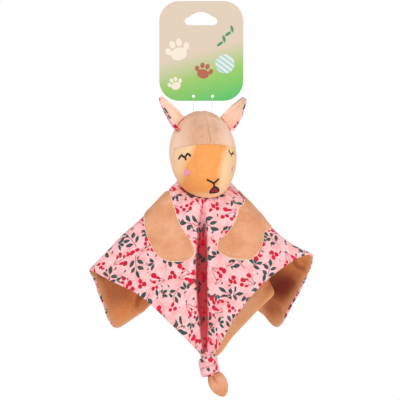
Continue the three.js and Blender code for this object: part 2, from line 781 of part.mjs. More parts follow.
// Sewn-on paws: rounded velour arms that start on the shoulder fold and lie on the print.
// Each outline point is an angle round the neck, in degrees from the front, and a way down.
const pawOutlines = {
  left: [
    [70, 0.40], [70, 0.50], [67, 0.57], [60, 0.60], [50, 0.61], [39, 0.63], [31, 0.645],
    [20, 0.625], [12, 0.605], [8, 0.57], [11, 0.54], [20, 0.50], [36, 0.45], [56, 0.41], [74, 0.38],
  ],
  right: [
    [272, 0.40], [268, 0.48], [278, 0.54], [292, 0.57], [306, 0.59], [317, 0.62], [325, 0.67],
    [334, 0.67], [343, 0.60], [347, 0.55], [343, 0.52], [332, 0.50], [317, 0.45], [302, 0.41], [286, 0.38],
  ],
};

function pawGrid(outline) {
  const corners = outline.map(([degrees, down]) => (
    new THREE.Vector3(THREE.MathUtils.degToRad(degrees), down, 0)
  ));
  const edge = new THREE.CatmullRomCurve3(corners, true).getPoints(pawSides).slice(0, pawSides);
  const middle = edge.reduce((sum, point) => sum.add(point), new THREE.Vector3()).divideScalar(pawSides);
  const rings = Array.from({ length: pawRows }, (_, k) => edge.map((point) => (
    middle.clone().lerp(point, (k + 1) / pawRows)
  )));
  const place = (point) => drape(point.x, point.y);
  return { grid: rings.map((ring) => ring.map(place)), middle: place(middle) };
}

// Velour over the whole print, which each outline cuts a paw from.
const pawUnderside = layerThick + halfSeam + seamGap;
const pawTopside = pawUnderside + pawThick;
const pawCloth = toSolid(blanketLayer(pawUnderside, pawTopside));

for (const [name, outline] of Object.entries(pawOutlines)) {
  const { grid, middle } = pawGrid(outline);
  const facing = gridNormals(grid, true)[0][0];
  const outward = middle.clone().sub(neckCentre).setZ(0).dot(facing) > 0;
  const rows = outward ? grid : grid.map((row) => row.slice().reverse());
  const normal = gridNormals(rows, true)[0].reduce((sum, way) => sum.add(way.clone()), new THREE.Vector3());
  const cutter = toSolid(sheet(rows, pawUnderside - pawCutReach, pawTopside + pawCutReach, true, {
    point: middle, normal: normal.normalize(),
  }));
  const pieces = pawCloth.intersect(cutter).decompose().sort((one, other) => other.volume() - one.volume());
  add(`paw_${name}`, fromSolid(pieces[0]), finishes.paw);
}

// Knot in the front corner: a band of cloth wound round the gathered core, and the tail.
const knotHinge = drape(0, 1).add(new THREE.Vector3(knotBesideHem, -knotBeforeHem, -knotBelowHem));
const knotTurn = new THREE.Matrix4().makeRotationY(knotLean).setPosition(knotHinge);
const bandMiddle = -knotDrop / 2;
const bandHalf = knotBandHeight / 2;
const bandBore = knotCoreRadius + seamGap;
const bandShoulder = knotRadius * knotShoulderShare;
const bandOutline = [
  [bandBore, -bandHalf / 2], [bandBore + layerThick, -bandHalf], [bandShoulder, -bandHalf],
  [knotRadius, -bandHalf / 2], [knotRadius, bandHalf / 2], [bandShoulder, bandHalf],
  [bandBore + layerThick, bandHalf], [bandBore, bandHalf / 2], [bandBore, -bandHalf / 2],
].map(([r, z]) => [r, z + bandMiddle]);
const band = turned(bandOutline);
band.applyMatrix4(knotTurn);
add('knot_band', band, finishes.print);

// The core's rounded top turns under the gathered hem.
const coreOutline = [
  [0, -knotDrop], [knotCoreRadius, -knotDrop], [knotCoreRadius, -knotDome], [knotDome, 0],
  [knotDome * Math.cos(Math.PI / 4), knotDome * Math.sin(Math.PI / 4)], [0, knotDome],
];
const core = turned(coreOutline);
core.applyMatrix4(knotTurn);
add('knot_core', core, finishes.print);

// The tail is the blanket's corner, velour side out, folded into a leaf.
function tailGeometry() {
  const leaf = new THREE.SphereGeometry(1, roundSteps, roundSteps / 2);
  leaf.rotateX(Math.PI / 2);
  const position = leaf.attributes.position;
  for (let i = 0; i < position.count; i += 1) {
    const [x, y, z] = [position.getX(i), position.getY(i), position.getZ(i)];
    const taper = 1 - tailTaperShare * z;
    position.setXYZ(i, x * tailHalfWidth * taper, y * (tailThick / 2) * taper, (z - 1) * (tailLength / 2));
  }
  leaf.rotateY(-tailLean);
  return leaf;
}

const tail = tailGeometry();
const tailTop = new THREE.Vector3(0, 0, -knotDrop - seamGap).applyMatrix4(knotTurn);
tail.translate(...tailTop.toArray());
add('knot_tail', tail, finishes.velour);

export default toy;
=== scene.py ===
import math

import bmesh
import bpy
import numpy as np
from mathutils import Matrix, Vector, noise


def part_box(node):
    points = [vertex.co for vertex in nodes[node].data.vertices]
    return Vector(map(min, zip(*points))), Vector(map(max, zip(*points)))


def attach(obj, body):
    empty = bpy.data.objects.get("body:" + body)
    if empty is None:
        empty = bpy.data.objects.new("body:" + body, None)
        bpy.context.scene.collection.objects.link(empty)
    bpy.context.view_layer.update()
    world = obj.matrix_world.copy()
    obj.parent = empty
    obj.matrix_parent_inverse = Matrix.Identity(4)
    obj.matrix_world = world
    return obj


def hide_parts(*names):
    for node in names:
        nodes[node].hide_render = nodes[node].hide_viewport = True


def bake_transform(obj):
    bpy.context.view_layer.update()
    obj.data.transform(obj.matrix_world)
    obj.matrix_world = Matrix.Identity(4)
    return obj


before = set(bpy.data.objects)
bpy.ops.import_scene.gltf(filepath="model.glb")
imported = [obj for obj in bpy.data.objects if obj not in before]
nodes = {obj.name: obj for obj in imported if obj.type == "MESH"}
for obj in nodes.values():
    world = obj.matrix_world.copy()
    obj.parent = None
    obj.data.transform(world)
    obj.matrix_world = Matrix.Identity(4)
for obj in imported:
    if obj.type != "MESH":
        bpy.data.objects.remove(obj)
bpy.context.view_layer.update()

MM = 0.001
PHOTO_SIDE = 400 * MM
CAMERA_AWAY = 3.0
SENSOR = 36.0
VIEW_CENTRE = Vector((-1.0, 0, -188.1)) * MM
FLOOR_BELOW, FLOOR_HALF = 0.62, 1.8
WHITE = (1.0, 1.0, 1.0, 1.0)
WARM_WHITE, SKY_STRENGTH = (1.0, 0.98, 0.96, 1.0), 0.50

scene = bpy.context.scene
scene.view_settings.view_transform = "Standard"

camera_data = bpy.data.cameras.new("camera")
camera_data.sensor_width = SENSOR
camera_data.lens = SENSOR * CAMERA_AWAY / PHOTO_SIDE
camera_data.clip_end = 20
camera = bpy.data.objects.new("camera", camera_data)
camera.location = VIEW_CENTRE - Vector((0, CAMERA_AWAY, 0))
camera.rotation_euler = (math.pi / 2, 0, 0)
scene.collection.objects.link(camera)
scene.camera = camera


def lamp(name, place, size, watts):
    """A round soft lamp, in metres and watts, turned to the toy."""
    data = bpy.data.lights.new(name, "AREA")
    data.shape = "DISK"
    data.size = size
    data.energy = watts
    obj = bpy.data.objects.new(name, data)
    obj.location = place
    obj.rotation_euler = (VIEW_CENTRE - Vector(place)).to_track_quat("-Z", "Y").to_euler()
    scene.collection.objects.link(obj)


lamp("lamp_above", (-0.5, -1.1, 1.0), 0.9, 8.0)
lamp("lamp_left", (-1.5, -1.0, 0.1), 0.8, 3.7)
lamp("lamp_right", (1.5, -1.0, 0.0), 0.8, 9.0)
lamp("lamp_low", (0.1, -1.5, -0.42), 0.8, 3.2)


def add_node(tree, kind, settings=None, sockets=None):
    """A new node of a tree: its settings are made first, then its sockets get values or links."""
    made = tree.nodes.new(kind)
    for key, value in (settings or {}).items():
        setattr(made, key, value)
    for key, value in (sockets or {}).items():
        if isinstance(value, bpy.types.NodeSocket):
            tree.links.new(value, made.inputs[key])
        else:
            made.inputs[key].default_value = value
    return made


world = bpy.data.worlds.new("studio")
world.use_nodes = True
scene.world = world
sky = world.node_tree
sky.nodes.clear()
seen = add_node(sky, "ShaderNodeBackground", sockets={"Color": WHITE})
lit = add_node(sky, "ShaderNodeBackground", sockets={"Color": WARM_WHITE, "Strength": SKY_STRENGTH})
by_camera = add_node(sky, "ShaderNodeLightPath").outputs["Is Camera Ray"]
mixed = {0: by_camera, 1: lit.outputs[0], 2: seen.outputs[0]}
backdrop = add_node(sky, "ShaderNodeMixShader", sockets=mixed)
add_node(sky, "ShaderNodeOutputWorld", sockets={0: backdrop.outputs[0]})


class Dye:
    """A socket of a material's nodes, on which sums are written as Python."""

    def __init__(self, finish, socket):
        self.finish = finish
        self.socket = socket

    def math(self, operation, *others):
        values = dict(enumerate((self, *others)))
        return self.finish.node("ShaderNodeMath", {"operation": operation}, values)

    def __add__(self, other):
        return self.math("ADD", other)

    __radd__ = __add__

    def __sub__(self, other):
        return self.math("SUBTRACT", other)

    def __rsub__(self, other):
        return self.finish.node("ShaderNodeMath", {"operation": "SUBTRACT"}, {0: other, 1: self})

    def __mul__(self, other):
        return self.math("MULTIPLY", other)

    __rmul__ = __mul__

    def __truediv__(self, other):
        return self.math("DIVIDE", other)

    def __pow__(self, other):
        return self.math("POWER", other)

    def __abs__(self):
        return self.math("ABSOLUTE")


def linear(red, green, blue):
    """A colour as the eye sees it, 0 to 255, for a shader."""
    parts = [c / 255 for c in (red, green, blue)]
    return tuple(((c + 0.055) / 1.055) ** 2.4 if c > 0.04045 else c / 12.92 for c in parts) + (1.0,)


class Finish:
    """A material whose nodes are added by plain calls."""

    def __init__(self, name, colour, **sockets):
        self.name = name
        self.material = bpy.data.materials.new(name)
        self.material.use_nodes = True
        self.material.diffuse_color = colour
        self.tree = self.material.node_tree
        self.cloth = self.tree.nodes["Principled BSDF"]
        self.cloth.inputs["Base Color"].default_value = colour
        for socket, value in sockets.items():
            self.cloth.inputs[socket.replace("_", " ")].default_value = value

    def node(self, kind, settings=None, sockets=None, output=0):
        given = (sockets or {}).items()
        given = {key: value.socket if isinstance(value, Dye) else value for key, value in given}
        return Dye(self, add_node(self.tree, kind, settings, given).outputs[output])

    def place(self):
        return self.node("ShaderNodeTexCoord", output="Object")

    def axes(self, where):
        """The x, y and z of a place, each as a number."""
        return [self.node("ShaderNodeSeparateXYZ", sockets={0: where}, output=k) for k in range(3)]

    def vector(self, operation, one, other=None):
        sockets = {0: one}
        if other is not None:
            sockets["Scale" if operation == "SCALE" else 1] = other
        return self.node("ShaderNodeVectorMath", {"operation": operation}, sockets)

    def noise(self, where, scale, detail=2.0, output="Fac"):
        sockets = {"Vector": where, "Scale": scale, "Detail": detail}
        return self.node("ShaderNodeTexNoise", sockets=sockets, output=output)

    def mix(self, share, one, other):
        return self.node("ShaderNodeMix", {"data_type": "RGBA"}, {0: share, 6: one, 7: other}, 2)

    def ramp(self, value, low, high):
        """0 at low and 1 at high, straight between them and level beyond."""
        return self.node("ShaderNodeMapRange", sockets={0: value, 1: low, 2: high})

    def bump(self, height, strength, distance, normal=None):
        sockets = {"Height": height, "Strength": strength, "Distance": distance}
        if normal:
            sockets["Normal"] = normal
        return self.node("ShaderNodeBump", sockets=sockets)

    def feed(self, socket, value):
        self.tree.links.new(value.socket, self.cloth.inputs[socket])


def piece(name, points, faces, finish, uv=None):
    """A mesh piece from its points in metres and its faces, smooth, with one material."""
    mesh = bpy.data.meshes.new(name)
    mesh.from_pydata([tuple(p) for p in points], [], [tuple(f) for f in faces])
    mesh.update()
    mesh.polygons.foreach_set("use_smooth", [True] * len(mesh.polygons))
    if uv is not None:
        layer = mesh.uv_layers.new(name="UVMap")
        corner = np.empty(len(mesh.loops), np.int64)
        mesh.loops.foreach_get("vertex_index", corner)
        layer.data.foreach_set("uv", np.asarray(uv, np.float32)[corner].ravel())
    mesh.materials.append(finish.material)
    obj = bpy.data.objects.new(name, mesh)
    scene.collection.objects.link(obj)
    return obj


studio_floor = Finish("studio_paper", linear(244, 243, 240), Roughness=0.9)
grain = studio_floor.noise(studio_floor.place(), 60.0, 3.0)
studio_floor.feed("Normal", studio_floor.bump(grain, 0.05, 0.002))
corners = [(x * FLOOR_HALF, y * FLOOR_HALF, -FLOOR_BELOW) for x, y in ((-1, -1), (1, -1), (1, 1), (-1, 1))]
floor = piece("floor", corners, [(0, 1, 2, 3)], studio_floor)

# Header card. Printed paperboard, die-cut with a hanging slot. Its face is a beige that turns
# green towards the lower right, with plain paw prints, a leaf sprig and a striped ball on it.
CARD_LOW = -88.9
CARD_BEIGE = linear(217, 199, 179)
CARD_LIME = linear(150, 196, 100)
CARD_GREEN = linear(70, 190, 98)
CARD_CREAM = linear(238, 226, 208)
CARD_RUST = linear(176, 96, 72)
CARD_TURQUOISE = linear(150, 212, 222)
CARD_LEAF = linear(70, 150, 96)

card = Finish("printed_card", CARD_BEIGE, Roughness=0.55)
where = card.place()
across, _, height = (axis / MM for axis in card.axes(where))


def turned(x, y, degrees):
    """A place told from axes that are turned by some degrees."""
    cos, sin = math.cos(math.radians(degrees)), math.sin(math.radians(degrees))
    return x * cos + y * sin, y * cos - x * sin


def spot(at, up, wide, tall, turn=0.0):
    """1 inside an oval of the card's print, 0 outside; all in mm."""
    along, aside = turned(across - at, height - up, turn)
    u, v = along / wide, aside / tall
    return card.ramp(u * u + v * v, 1.05, 0.95)


def petal(at, up, half_length, half_width, turn):
    """1 inside a pointed leaf of the card's print, 0 outside."""
    along, aside = turned(across - at, height - up, turn)
    u = along / half_length
    return card.ramp(half_width * (1 - u * u) - abs(aside), -0.1, 0.1)


def stronger(masks):
    """The strongest of several masks at each place."""
    whole = masks[0]
    for mask in masks[1:]:
        whole = whole.math("MAXIMUM", mask)
    return whole


slope = across * 0.30 - height
ground = card.mix(card.ramp(slope, 40.0, 66.0), CARD_BEIGE, CARD_LIME)
ground = card.mix(card.ramp(slope, 66.0, 98.0), ground, CARD_GREEN)


def paw_mark(at, up, size, turn):
    """The pad and four toes of a paw print."""
    marks = [spot(at, up, size * 1.15, size * 0.9, turn)]
    for toe, lift in ((-1.35, 0.75), (-0.5, 1.55), (0.5, 1.55), (1.35, 0.75)):
        x, z = turned(toe * size, lift * size, -turn)
        marks.append(spot(at + x, up + z, size * 0.42, size * 0.55, turn - toe * 12))
    return stronger(marks)


colour = card.mix(paw_mark(-22, -42, 7.0, 18), ground, CARD_CREAM)
colour = card.mix(paw_mark(2, -62, 5.2, -14), colour, CARD_RUST)
colour = card.mix(paw_mark(-25, -74, 4.2, 22), colour, CARD_CREAM)
ball = spot(24, -52, 9.5, 9.5)
stripes = card.ramp((across * 0.9 + height * 1.2).math("SINE"), -0.1, 0.1)
colour = card.mix(ball, colour, card.mix(stripes, CARD_TURQUOISE, CARD_CREAM))
leaves = stronger([petal(27 + 4 * k, -22 + 5 * k, 4.2, 1.5, 35 + 70 * (k % 2)) for k in range(-2, 2)])
colour = card.mix(leaves, colour, CARD_LEAF)
_, facing, _ = card.axes(card.node("ShaderNodeNewGeometry", output="Normal"))
front = card.ramp(facing, -0.5, -0.6)
fibres = card.noise(where, 900.0, 4.0)
kraft = card.mix(card.ramp(fibres, 0.35, 0.65), linear(196, 178, 155), linear(214, 199, 178))
card.feed("Base Color", card.mix(front, kraft, colour))
card.feed("Normal", card.bump(fibres, 0.12, 0.0002))
card.feed("Roughness", 0.5 + fibres * 0.2)


def paint(mesh, finish):
    """Gives a mesh one material in place of those it has."""
    mesh.materials.clear()
    mesh.materials.append(finish.material)


paint(nodes["header_card"].data, card)

# Nylon loops. Two clear nylon threads run through holes in the card and under a stitch of
# the crown's seam, and carry the toy.
NYLON_RADIUS, LOOP_SIDES, LOOP_SPOTS = 0.4, 10, 60
LOOP_MIDDLE, LOOP_OFFSET = 2.0, 9.5
LOOP_HOLE, LOOP_FOOT, LOOP_UNDER_CARD = CARD_LOW + 4.5, -100.15, -89.4
nylon = Finish("clear_nylon", linear(236, 240, 243), Roughness=0.15, Alpha=0.18)
nylon.cloth.inputs["Transmission Weight"].default_value = 0.35
nylon_wave = nylon.noise(nylon.place(), 350.0)
nylon.feed("Roughness", 0.1 + nylon_wave * 0.15)


def smooth_line(places, count, closed=False):
    """Evenly spread points of a smooth line through places."""
    places = np.asarray(places, float)
    if closed:
        ends = np.concatenate([places[-1:], places, places[:2]])
    else:
        ends = np.concatenate([2 * places[:1] - places[1:2], places, 2 * places[-1:] - places[-2:-1]])
    spans = len(ends) - 3
    at = np.linspace(0, spans, count, endpoint=not closed)
    k = np.minimum(at.astype(int), spans - 1)
    s = (at - k)[:, None]
    a, b, c, d = ends[k], ends[k + 1], ends[k + 2], ends[k + 3]
    bow, twist = 2 * a - 5 * b + 4 * c - d, 3 * b - a - 3 * c + d
    return 0.5 * (2 * b + (c - a) * s + bow * s ** 2 + twist * s ** 3)


def round_faces(rows, columns, joined=False):
    """Faces between rows of points that all close round; joined rows also meet last to first."""
    faces = []
    for i in range(rows if joined else rows - 1):
        here, there = i * columns, (i + 1) % rows * columns
        for j in range(columns):
            k = (j + 1) % columns
            faces.append((here + j, here + k, there + k, there + j))
    return faces


def thread_ring(name, centres, radius, sides, finish):
    """A thread of round section along a ring of points in mm."""
    ahead = np.roll(centres, -1, 0) - np.roll(centres, 1, 0)
    ahead = ahead / np.linalg.norm(ahead, axis=1, keepdims=True)
    side = np.cross(ahead, [1.0, 0.0, 0.0])
    side = side / np.linalg.norm(side, axis=1, keepdims=True)
    up = np.cross(ahead, side)
    turn = np.linspace(0, 2 * math.pi, sides, endpoint=False)[None, :, None]
    rings = centres[:, None] + radius * (np.cos(turn) * side[:, None] + np.sin(turn) * up[:, None])
    return piece(name, rings.reshape(-1, 3) * MM, round_faces(len(centres), sides, joined=True), finish)


for node, offset in (("tag_loop_left", -LOOP_OFFSET), ("tag_loop_right", LOOP_OFFSET)):
    low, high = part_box(node)
    half_loop = [
        (0.0, LOOP_FOOT), (1.0, LOOP_FOOT + 1.2), (1.9, LOOP_UNDER_CARD),
        (1.9, LOOP_HOLE - 1.6), (1.2, LOOP_HOLE + 0.1), (0.0, LOOP_HOLE + 0.55),
    ]
    outline = half_loop + [(-y, z) for y, z in reversed(half_loop[1:-1])]
    drop = np.clip([(LOOP_HOLE - z) / (LOOP_HOLE - LOOP_FOOT) for _, z in outline], 0, 1) ** 2
    places = np.array([(LOOP_MIDDLE + offset, y, z) for y, z in outline])
    places[:, 1] += drop * (low.y + high.y) / MM
    line = smooth_line(places, LOOP_SPOTS, closed=True)
    loop = thread_ring(node.replace("tag_", "nylon_"), line, NYLON_RADIUS, LOOP_SIDES, nylon)
    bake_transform(loop)
    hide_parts(node)

# Head. A stuffed ball of velour cut in three panels: a face, held by a brow seam and a seam
# at each side, and two halves that meet over the forehead and down the back. The seams pull in.
HEAD_CENTRE = np.array([2.0, -2.0, -142.4])
HEAD_TURN = math.radians(14)
HEAD_HALF = np.array([33.5, 33.0, 45.0])
HEAD_LEAN = math.radians(20)
MUZZLE_LENGTH, MUZZLE_DROP, MUZZLE_SPREAD = 11.0, math.radians(38), math.radians(30)
SKIN_THICK = 1.2
BROW_HEIGHT, BROW_SLOPE = 10.0, math.radians(12)
SIDE_SEAM_FORWARD, SIDE_SEAM_LEAN = 6.0, math.radians(6)
SEAM_DEPTH, SEAM_REACH, SEAM_FADE, MIDDLE_SEAM_SHARE = 1.0, 1.9, 1.5, 0.55
HEAD_LUMP, HEAD_LUMP_SIZE = 0.35, 17.0
NECK_CENTRE = np.array([2.0, 0.0, -180.0])
NECK_TILT = math.radians(24)
SLEEVE_HEIGHT = 6.0
HEAD_ROWS, HEAD_COLUMNS = 110, 170
NECK_UP = np.array([0, -math.sin(NECK_TILT), math.cos(NECK_TILT)])
NECK_FRONT = np.array([0, -math.cos(NECK_TILT), -math.sin(NECK_TILT)])
MUZZLE_WAY = np.array([0, -math.cos(MUZZLE_DROP), -math.sin(MUZZLE_DROP)])
UNDER_BROW = np.array([0, -math.sin(BROW_SLOPE), -math.cos(BROW_SLOPE)])
BROW_POINT = np.array([0, -HEAD_HALF[1], BROW_HEIGHT])
BEFORE_SIDE = np.array([0, -math.cos(SIDE_SEAM_LEAN), -math.sin(SIDE_SEAM_LEAN)])
SIDE_POINT = np.array([0, -SIDE_SEAM_FORWARD, 0])
HEAD_AXES = np.array(Matrix.Rotation(HEAD_TURN, 3, "Z"))


def unit(ways):
    return ways / np.linalg.norm(ways, axis=-1, keepdims=True)


def head_reach(ways):
    """How far the stuffed head reaches from its centre, for directions in its own frame."""
    x, y, z = np.moveaxis(ways, -1, 0)
    along = y * math.sin(HEAD_LEAN) + z * math.cos(HEAD_LEAN)
    fore = y * math.cos(HEAD_LEAN) - z * math.sin(HEAD_LEAN)
    ball = 1 / np.sqrt((x / HEAD_HALF[0]) ** 2 + (fore / HEAD_HALF[1]) ** 2 + (along / HEAD_HALF[2]) ** 2)
    off = np.arccos(np.clip(ways @ MUZZLE_WAY, -1, 1)) / MUZZLE_SPREAD
    return ball + MUZZLE_LENGTH * np.exp(-off * off)


def into_face(points):
    """How far points of the head's own frame lie inside the face panel's bounds, under 0 outside."""
    return np.minimum((points - BROW_POINT) @ UNDER_BROW, (points - SIDE_POINT) @ BEFORE_SIDE)


def seam_dip(points):
    """How much the skin is pulled in at the seams, for points in the head's own frame."""
    inside = into_face(points)
    outside = 1 / (1 + np.exp(np.clip(inside * SEAM_FADE, -30, 30)))
    middle = MIDDLE_SEAM_SHARE * outside * np.exp(-((points[..., 0] / SEAM_REACH) ** 2))
    dip = np.exp(-((inside / SEAM_REACH) ** 2)) + middle
    return SEAM_DEPTH * np.minimum(dip, 1)


def to_world(points):
    return points @ HEAD_AXES.T + HEAD_CENTRE


def to_head(points):
    return (points - HEAD_CENTRE) @ HEAD_AXES


def lumps(points, size, seed):
    """Soft unevenness of hand-filled cloth, -1 to 1, the same each run."""
    shift = Vector((seed * 17.3, seed * 5.1, seed * 9.7))
    flat = points.reshape(-1, 3)
    values = [noise.noise(Vector(p) / size + shift) for p in flat.tolist()]
    return np.array(values).reshape(points.shape[:-1])


def velour(
    name, colour, shade, pale, nap=1.0, sides=None, painted_side_reach=None, painted_chin_light=None, painted_crease_shade=None, folds=(), edge=None
):
    """Short-pile knitted velour, whose nap lies in soft patches and catches light at the rim.

    sides: a tone painted outward that stands in for light and shade there, paler for the sheen at a rim and
    darker for shade. painted_side_reach has the middle, where that starts and ends, and the middle's shift
    per mm above eye height;
    painted_chin_light has two heights between which the tone comes in as well, as painted light under the
    chin.
    painted_crease_shade: the tone of painted shade in folds of the cloth, and in soft patches beside them.
    folds has each painted fold's middle across and up, half length, half width,
    turn and depth. edge: a paler tone painted along the hem, a painted highlight where it rolls to the
    light, as the mesh's own attribute tells."""
    made = Finish(name, colour, Roughness=0.95, Sheen_Weight=0.45, Sheen_Roughness=0.4, Sheen_Tint=pale)
    at = made.place()
    patches = made.noise(at, PATCHES_PER_M, 2.0)
    brushed = made.noise(at, STROKES_PER_M, 3.0)
    pile = made.noise(at, TUFTS_PER_M, 2.0)
    tone = made.mix(made.ramp(patches, 0.3, 0.7), shade, colour)
    # painted light and shade: away from a middle line, and under the chin, the tone turns to the sides tone
    if sides:
        across, _, height = (axis / MM for axis in made.axes(at))
        middle, near, far, shift = painted_side_reach
        middle = (height - EYE_HEIGHT) * shift + middle - (patches - 0.5) * PAINTED_SIDE_WANDER
        away = made.ramp(abs(across - middle), near, far)
        if painted_chin_light:
            away = away.math("MAXIMUM", made.ramp(height, *painted_chin_light))
        tone = made.mix(away, tone, sides)
    tone = made.mix(made.ramp(brushed, 0.45, 0.75) * 0.45, tone, made.mix(0.5, tone, pale))
    tone = made.mix(made.ramp(pile, 0.25, 0.5) * 0.25 + 0.75, made.mix(0.5, tone, shade), tone)
    # painted shade: darker in the listed folds and in soft patches, on the sides only
    if painted_crease_shade:
        wander = (made.noise(at, 70.0, 1.0) - 0.5) * FOLD_SHADE_WANDER
        painted_fold_shade = made.ramp(patches, 0.45, 0.75) * 0.25
        for middle, level, length, width, turn, depth in folds:
            along, aside = turned(across - middle + wander, height - level, turn)
            u, v = along / length, aside / width
            painted_fold_shade = painted_fold_shade.math("MAXIMUM", made.ramp(u * u + v * v, 1.9, 0.1) * depth)
        tone = made.mix(painted_fold_shade * away, tone, painted_crease_shade)
    # painted highlight: paler along the hem, where the rolled hem catches the light
    if edge:
        hem_highlight = made.node("ShaderNodeAttribute", {"attribute_name": "hem"}, output=2)
        tone = made.mix(hem_highlight, tone, edge)
    made.feed("Base Color", tone)
    coarse = made.bump(brushed, 0.30 * nap, STROKE_HEIGHT)
    made.feed("Normal", made.bump(pile, 0.55 * nap, TUFT_HEIGHT, coarse))
    return made


PATCHES_PER_M, STROKES_PER_M, TUFTS_PER_M = 55.0, 420.0, 2400.0
STROKE_HEIGHT, TUFT_HEIGHT = 0.0009, 0.00035
EYE_HEIGHT, PAINTED_SIDE_WANDER, FOLD_SHADE_WANDER = -150.0, 12.0, 16.0
# The face and crown are painted paler towards their rims, standing in for the sheen of the pile there; the
# face is also painted paler under its chin, as painted light.
face_velour = velour(
    "face_velour", linear(250, 167, 92), linear(246, 156, 78), linear(255, 206, 150),
    sides=linear(255, 214, 168), painted_side_reach=(4.0, 14.0, 22.0, 0.35), painted_chin_light=(-179.0, -184.5),
)
crown_velour = velour(
    "crown_velour", linear(234, 190, 160), linear(214, 162, 128), linear(250, 218, 196),
    sides=linear(254, 214, 190), painted_side_reach=(2.0, 11.0, 27.0, 0.0),
)

turn = np.linspace(0, 2 * math.pi, HEAD_COLUMNS, endpoint=False)
rise = np.linspace(-math.pi / 2, math.pi / 2, HEAD_ROWS + 1)[1:-1]
grid_rise, grid_turn = np.meshgrid(rise, turn, indexing="ij")
level = np.cos(grid_rise)
ways = np.stack([level * np.sin(grid_turn), -level * np.cos(grid_turn), np.sin(grid_rise)], -1)
poles = np.array([[0.0, 0, -1], [0, 0, 1]])


def head_skin_points(ways):
    """The skin's outside along some directions, with its lumps and its seams."""
    base = ways * head_reach(ways)[..., None]
    lift = HEAD_LUMP * lumps(base, HEAD_LUMP_SIZE, 1) - seam_dip(base)
    return base + ways * lift[..., None]


def ball_faces(rows, columns):
    """Faces of a ball of rows by columns points, with its two poles added last."""
    faces = round_faces(rows, columns)
    low, high = rows * columns, rows * columns + 1
    for j in range(columns):
        k = (j + 1) % columns
        faces.append((low, k, j))
        faces.append((high, (rows - 1) * columns + j, (rows - 1) * columns + k))
    return faces


head_points = np.concatenate([head_skin_points(ways).reshape(-1, 3), head_skin_points(poles)])
head_faces = ball_faces(*ways.shape[:2])


def cut(mesh, planes, keep):
    """Cuts a mesh along planes, each a point and a way, and keeps faces whose middles pass a test."""
    shape = bmesh.new()
    shape.from_mesh(mesh)
    for point, way in planes:
        everything = shape.verts[:] + shape.edges[:] + shape.faces[:]
        bmesh.ops.bisect_plane(shape, geom=everything, plane_co=Vector(point), plane_no=Vector(way))
    middles = np.array([face.calc_center_median()[:] for face in shape.faces])
    kept = keep(middles)
    lost = [face for face, stays in zip(shape.faces, kept) if not stays]
    bmesh.ops.delete(shape, geom=lost, context="FACES")
    shape.to_mesh(mesh)
    shape.free()


def keep_plain(obj):
    """Keeps what a piece's modifiers make of it as a plain mesh."""
    mesh = bpy.data.meshes.new_from_object(obj.evaluated_get(bpy.context.evaluated_depsgraph_get()))
    obj.modifiers.clear()
    obj.data = mesh


def modify(obj, kind, **settings):
    modifier = obj.modifiers.new(kind.lower(), kind)
    for key, value in settings.items():
        setattr(modifier, key, value)
    keep_plain(obj)


def weld(mesh, distance):
    """Joins points that lie closer than a distance in mm, and turns all faces outward."""
    shape = bmesh.new()
    shape.from_mesh(mesh)
    bmesh.ops.remove_doubles(shape, verts=shape.verts, dist=distance * MM)
    bmesh.ops.recalc_face_normals(shape, faces=shape.faces)
    shape.to_mesh(mesh)
    shape.free()


def dress(obj, body, node):
    """Lets a piece ride on a body and stand for one of its solids."""
    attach(obj, body)
    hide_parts(node)


HALF_SEAM = 0.1
neck_point = to_head(NECK_CENTRE + NECK_UP * SLEEVE_HEIGHT)
neck_way = NECK_UP @ HEAD_AXES
middle_seam = (np.zeros(3), np.array([1.0, 0, 0]))
seams = [
    (point + way * gap, way)
    for point, way in ((BROW_POINT, UNDER_BROW), (SIDE_POINT, BEFORE_SIDE), middle_seam)
    for gap in (-HALF_SEAM, HALF_SEAM)
]
panels = {
    "head_face": (face_velour, lambda at: into_face(at) > HALF_SEAM),
    "head_crown_left": (crown_velour, lambda at: (into_face(at) < -HALF_SEAM) & (at[:, 0] < -HALF_SEAM)),
    "head_crown_right": (crown_velour, lambda at: (into_face(at) < -HALF_SEAM) & (at[:, 0] > HALF_SEAM)),
}
for node, (finish, within) in panels.items():
    panel = piece(node.replace("head_", "") + "_panel", head_points, head_faces, finish)
    mesh = panel.data
    planes = [*seams, (neck_point, neck_way)]
    cut(mesh, planes, lambda at: within(at) & ((at - neck_point) @ neck_way > 0))
    spots = np.empty(len(mesh.vertices) * 3)
    mesh.vertices.foreach_get("co", spots)
    mesh.vertices.foreach_set("co", (to_world(spots.reshape(-1, 3)) * MM).ravel())
    mesh.update()
    modify(panel, "SOLIDIFY", thickness=SKIN_THICK * MM, offset=-1.0, use_even_offset=False)
    panel.data.polygons.foreach_set("use_smooth", [True] * len(panel.data.polygons))
    dress(panel, "head", node)

# Filling and squeaker. Polyester fibre packed round a blow-moulded bulb with a reed in its
# mouth. None of it shows, and the fibre is one soft lump with the bulb's pocket in it.
fill_fibre = Finish("polyester_fill", linear(243, 239, 230), Roughness=1.0)
tangle = fill_fibre.noise(fill_fibre.place(), 900.0, 6.0)
fill_fibre.feed("Base Color", fill_fibre.mix(tangle, linear(226, 221, 210), linear(252, 250, 245)))
fill_fibre.feed("Normal", fill_fibre.bump(tangle, 0.9, 0.0006))
filling = bpy.data.objects.new("head_filling", nodes["head_stuffing"].data.copy())
scene.collection.objects.link(filling)
weld(filling.data, 0.01)
paint(filling.data, fill_fibre)
modify(filling, "SUBSURF", levels=1, render_levels=1, subdivision_type="SIMPLE")
dress(filling, "head", "head_stuffing")

moulded = Finish("squeaker_plastic", linear(242, 242, 238), Roughness=0.4)
mould_mark = moulded.noise(moulded.place(), 120.0, 3.0)
moulded.feed("Base Color", moulded.mix(mould_mark, linear(230, 230, 224), linear(248, 248, 246)))
moulded.feed("Roughness", 0.3 + mould_mark * 0.25)
for node in ("squeaker_bulb", "squeaker_reed"):
    paint(nodes[node].data, moulded)

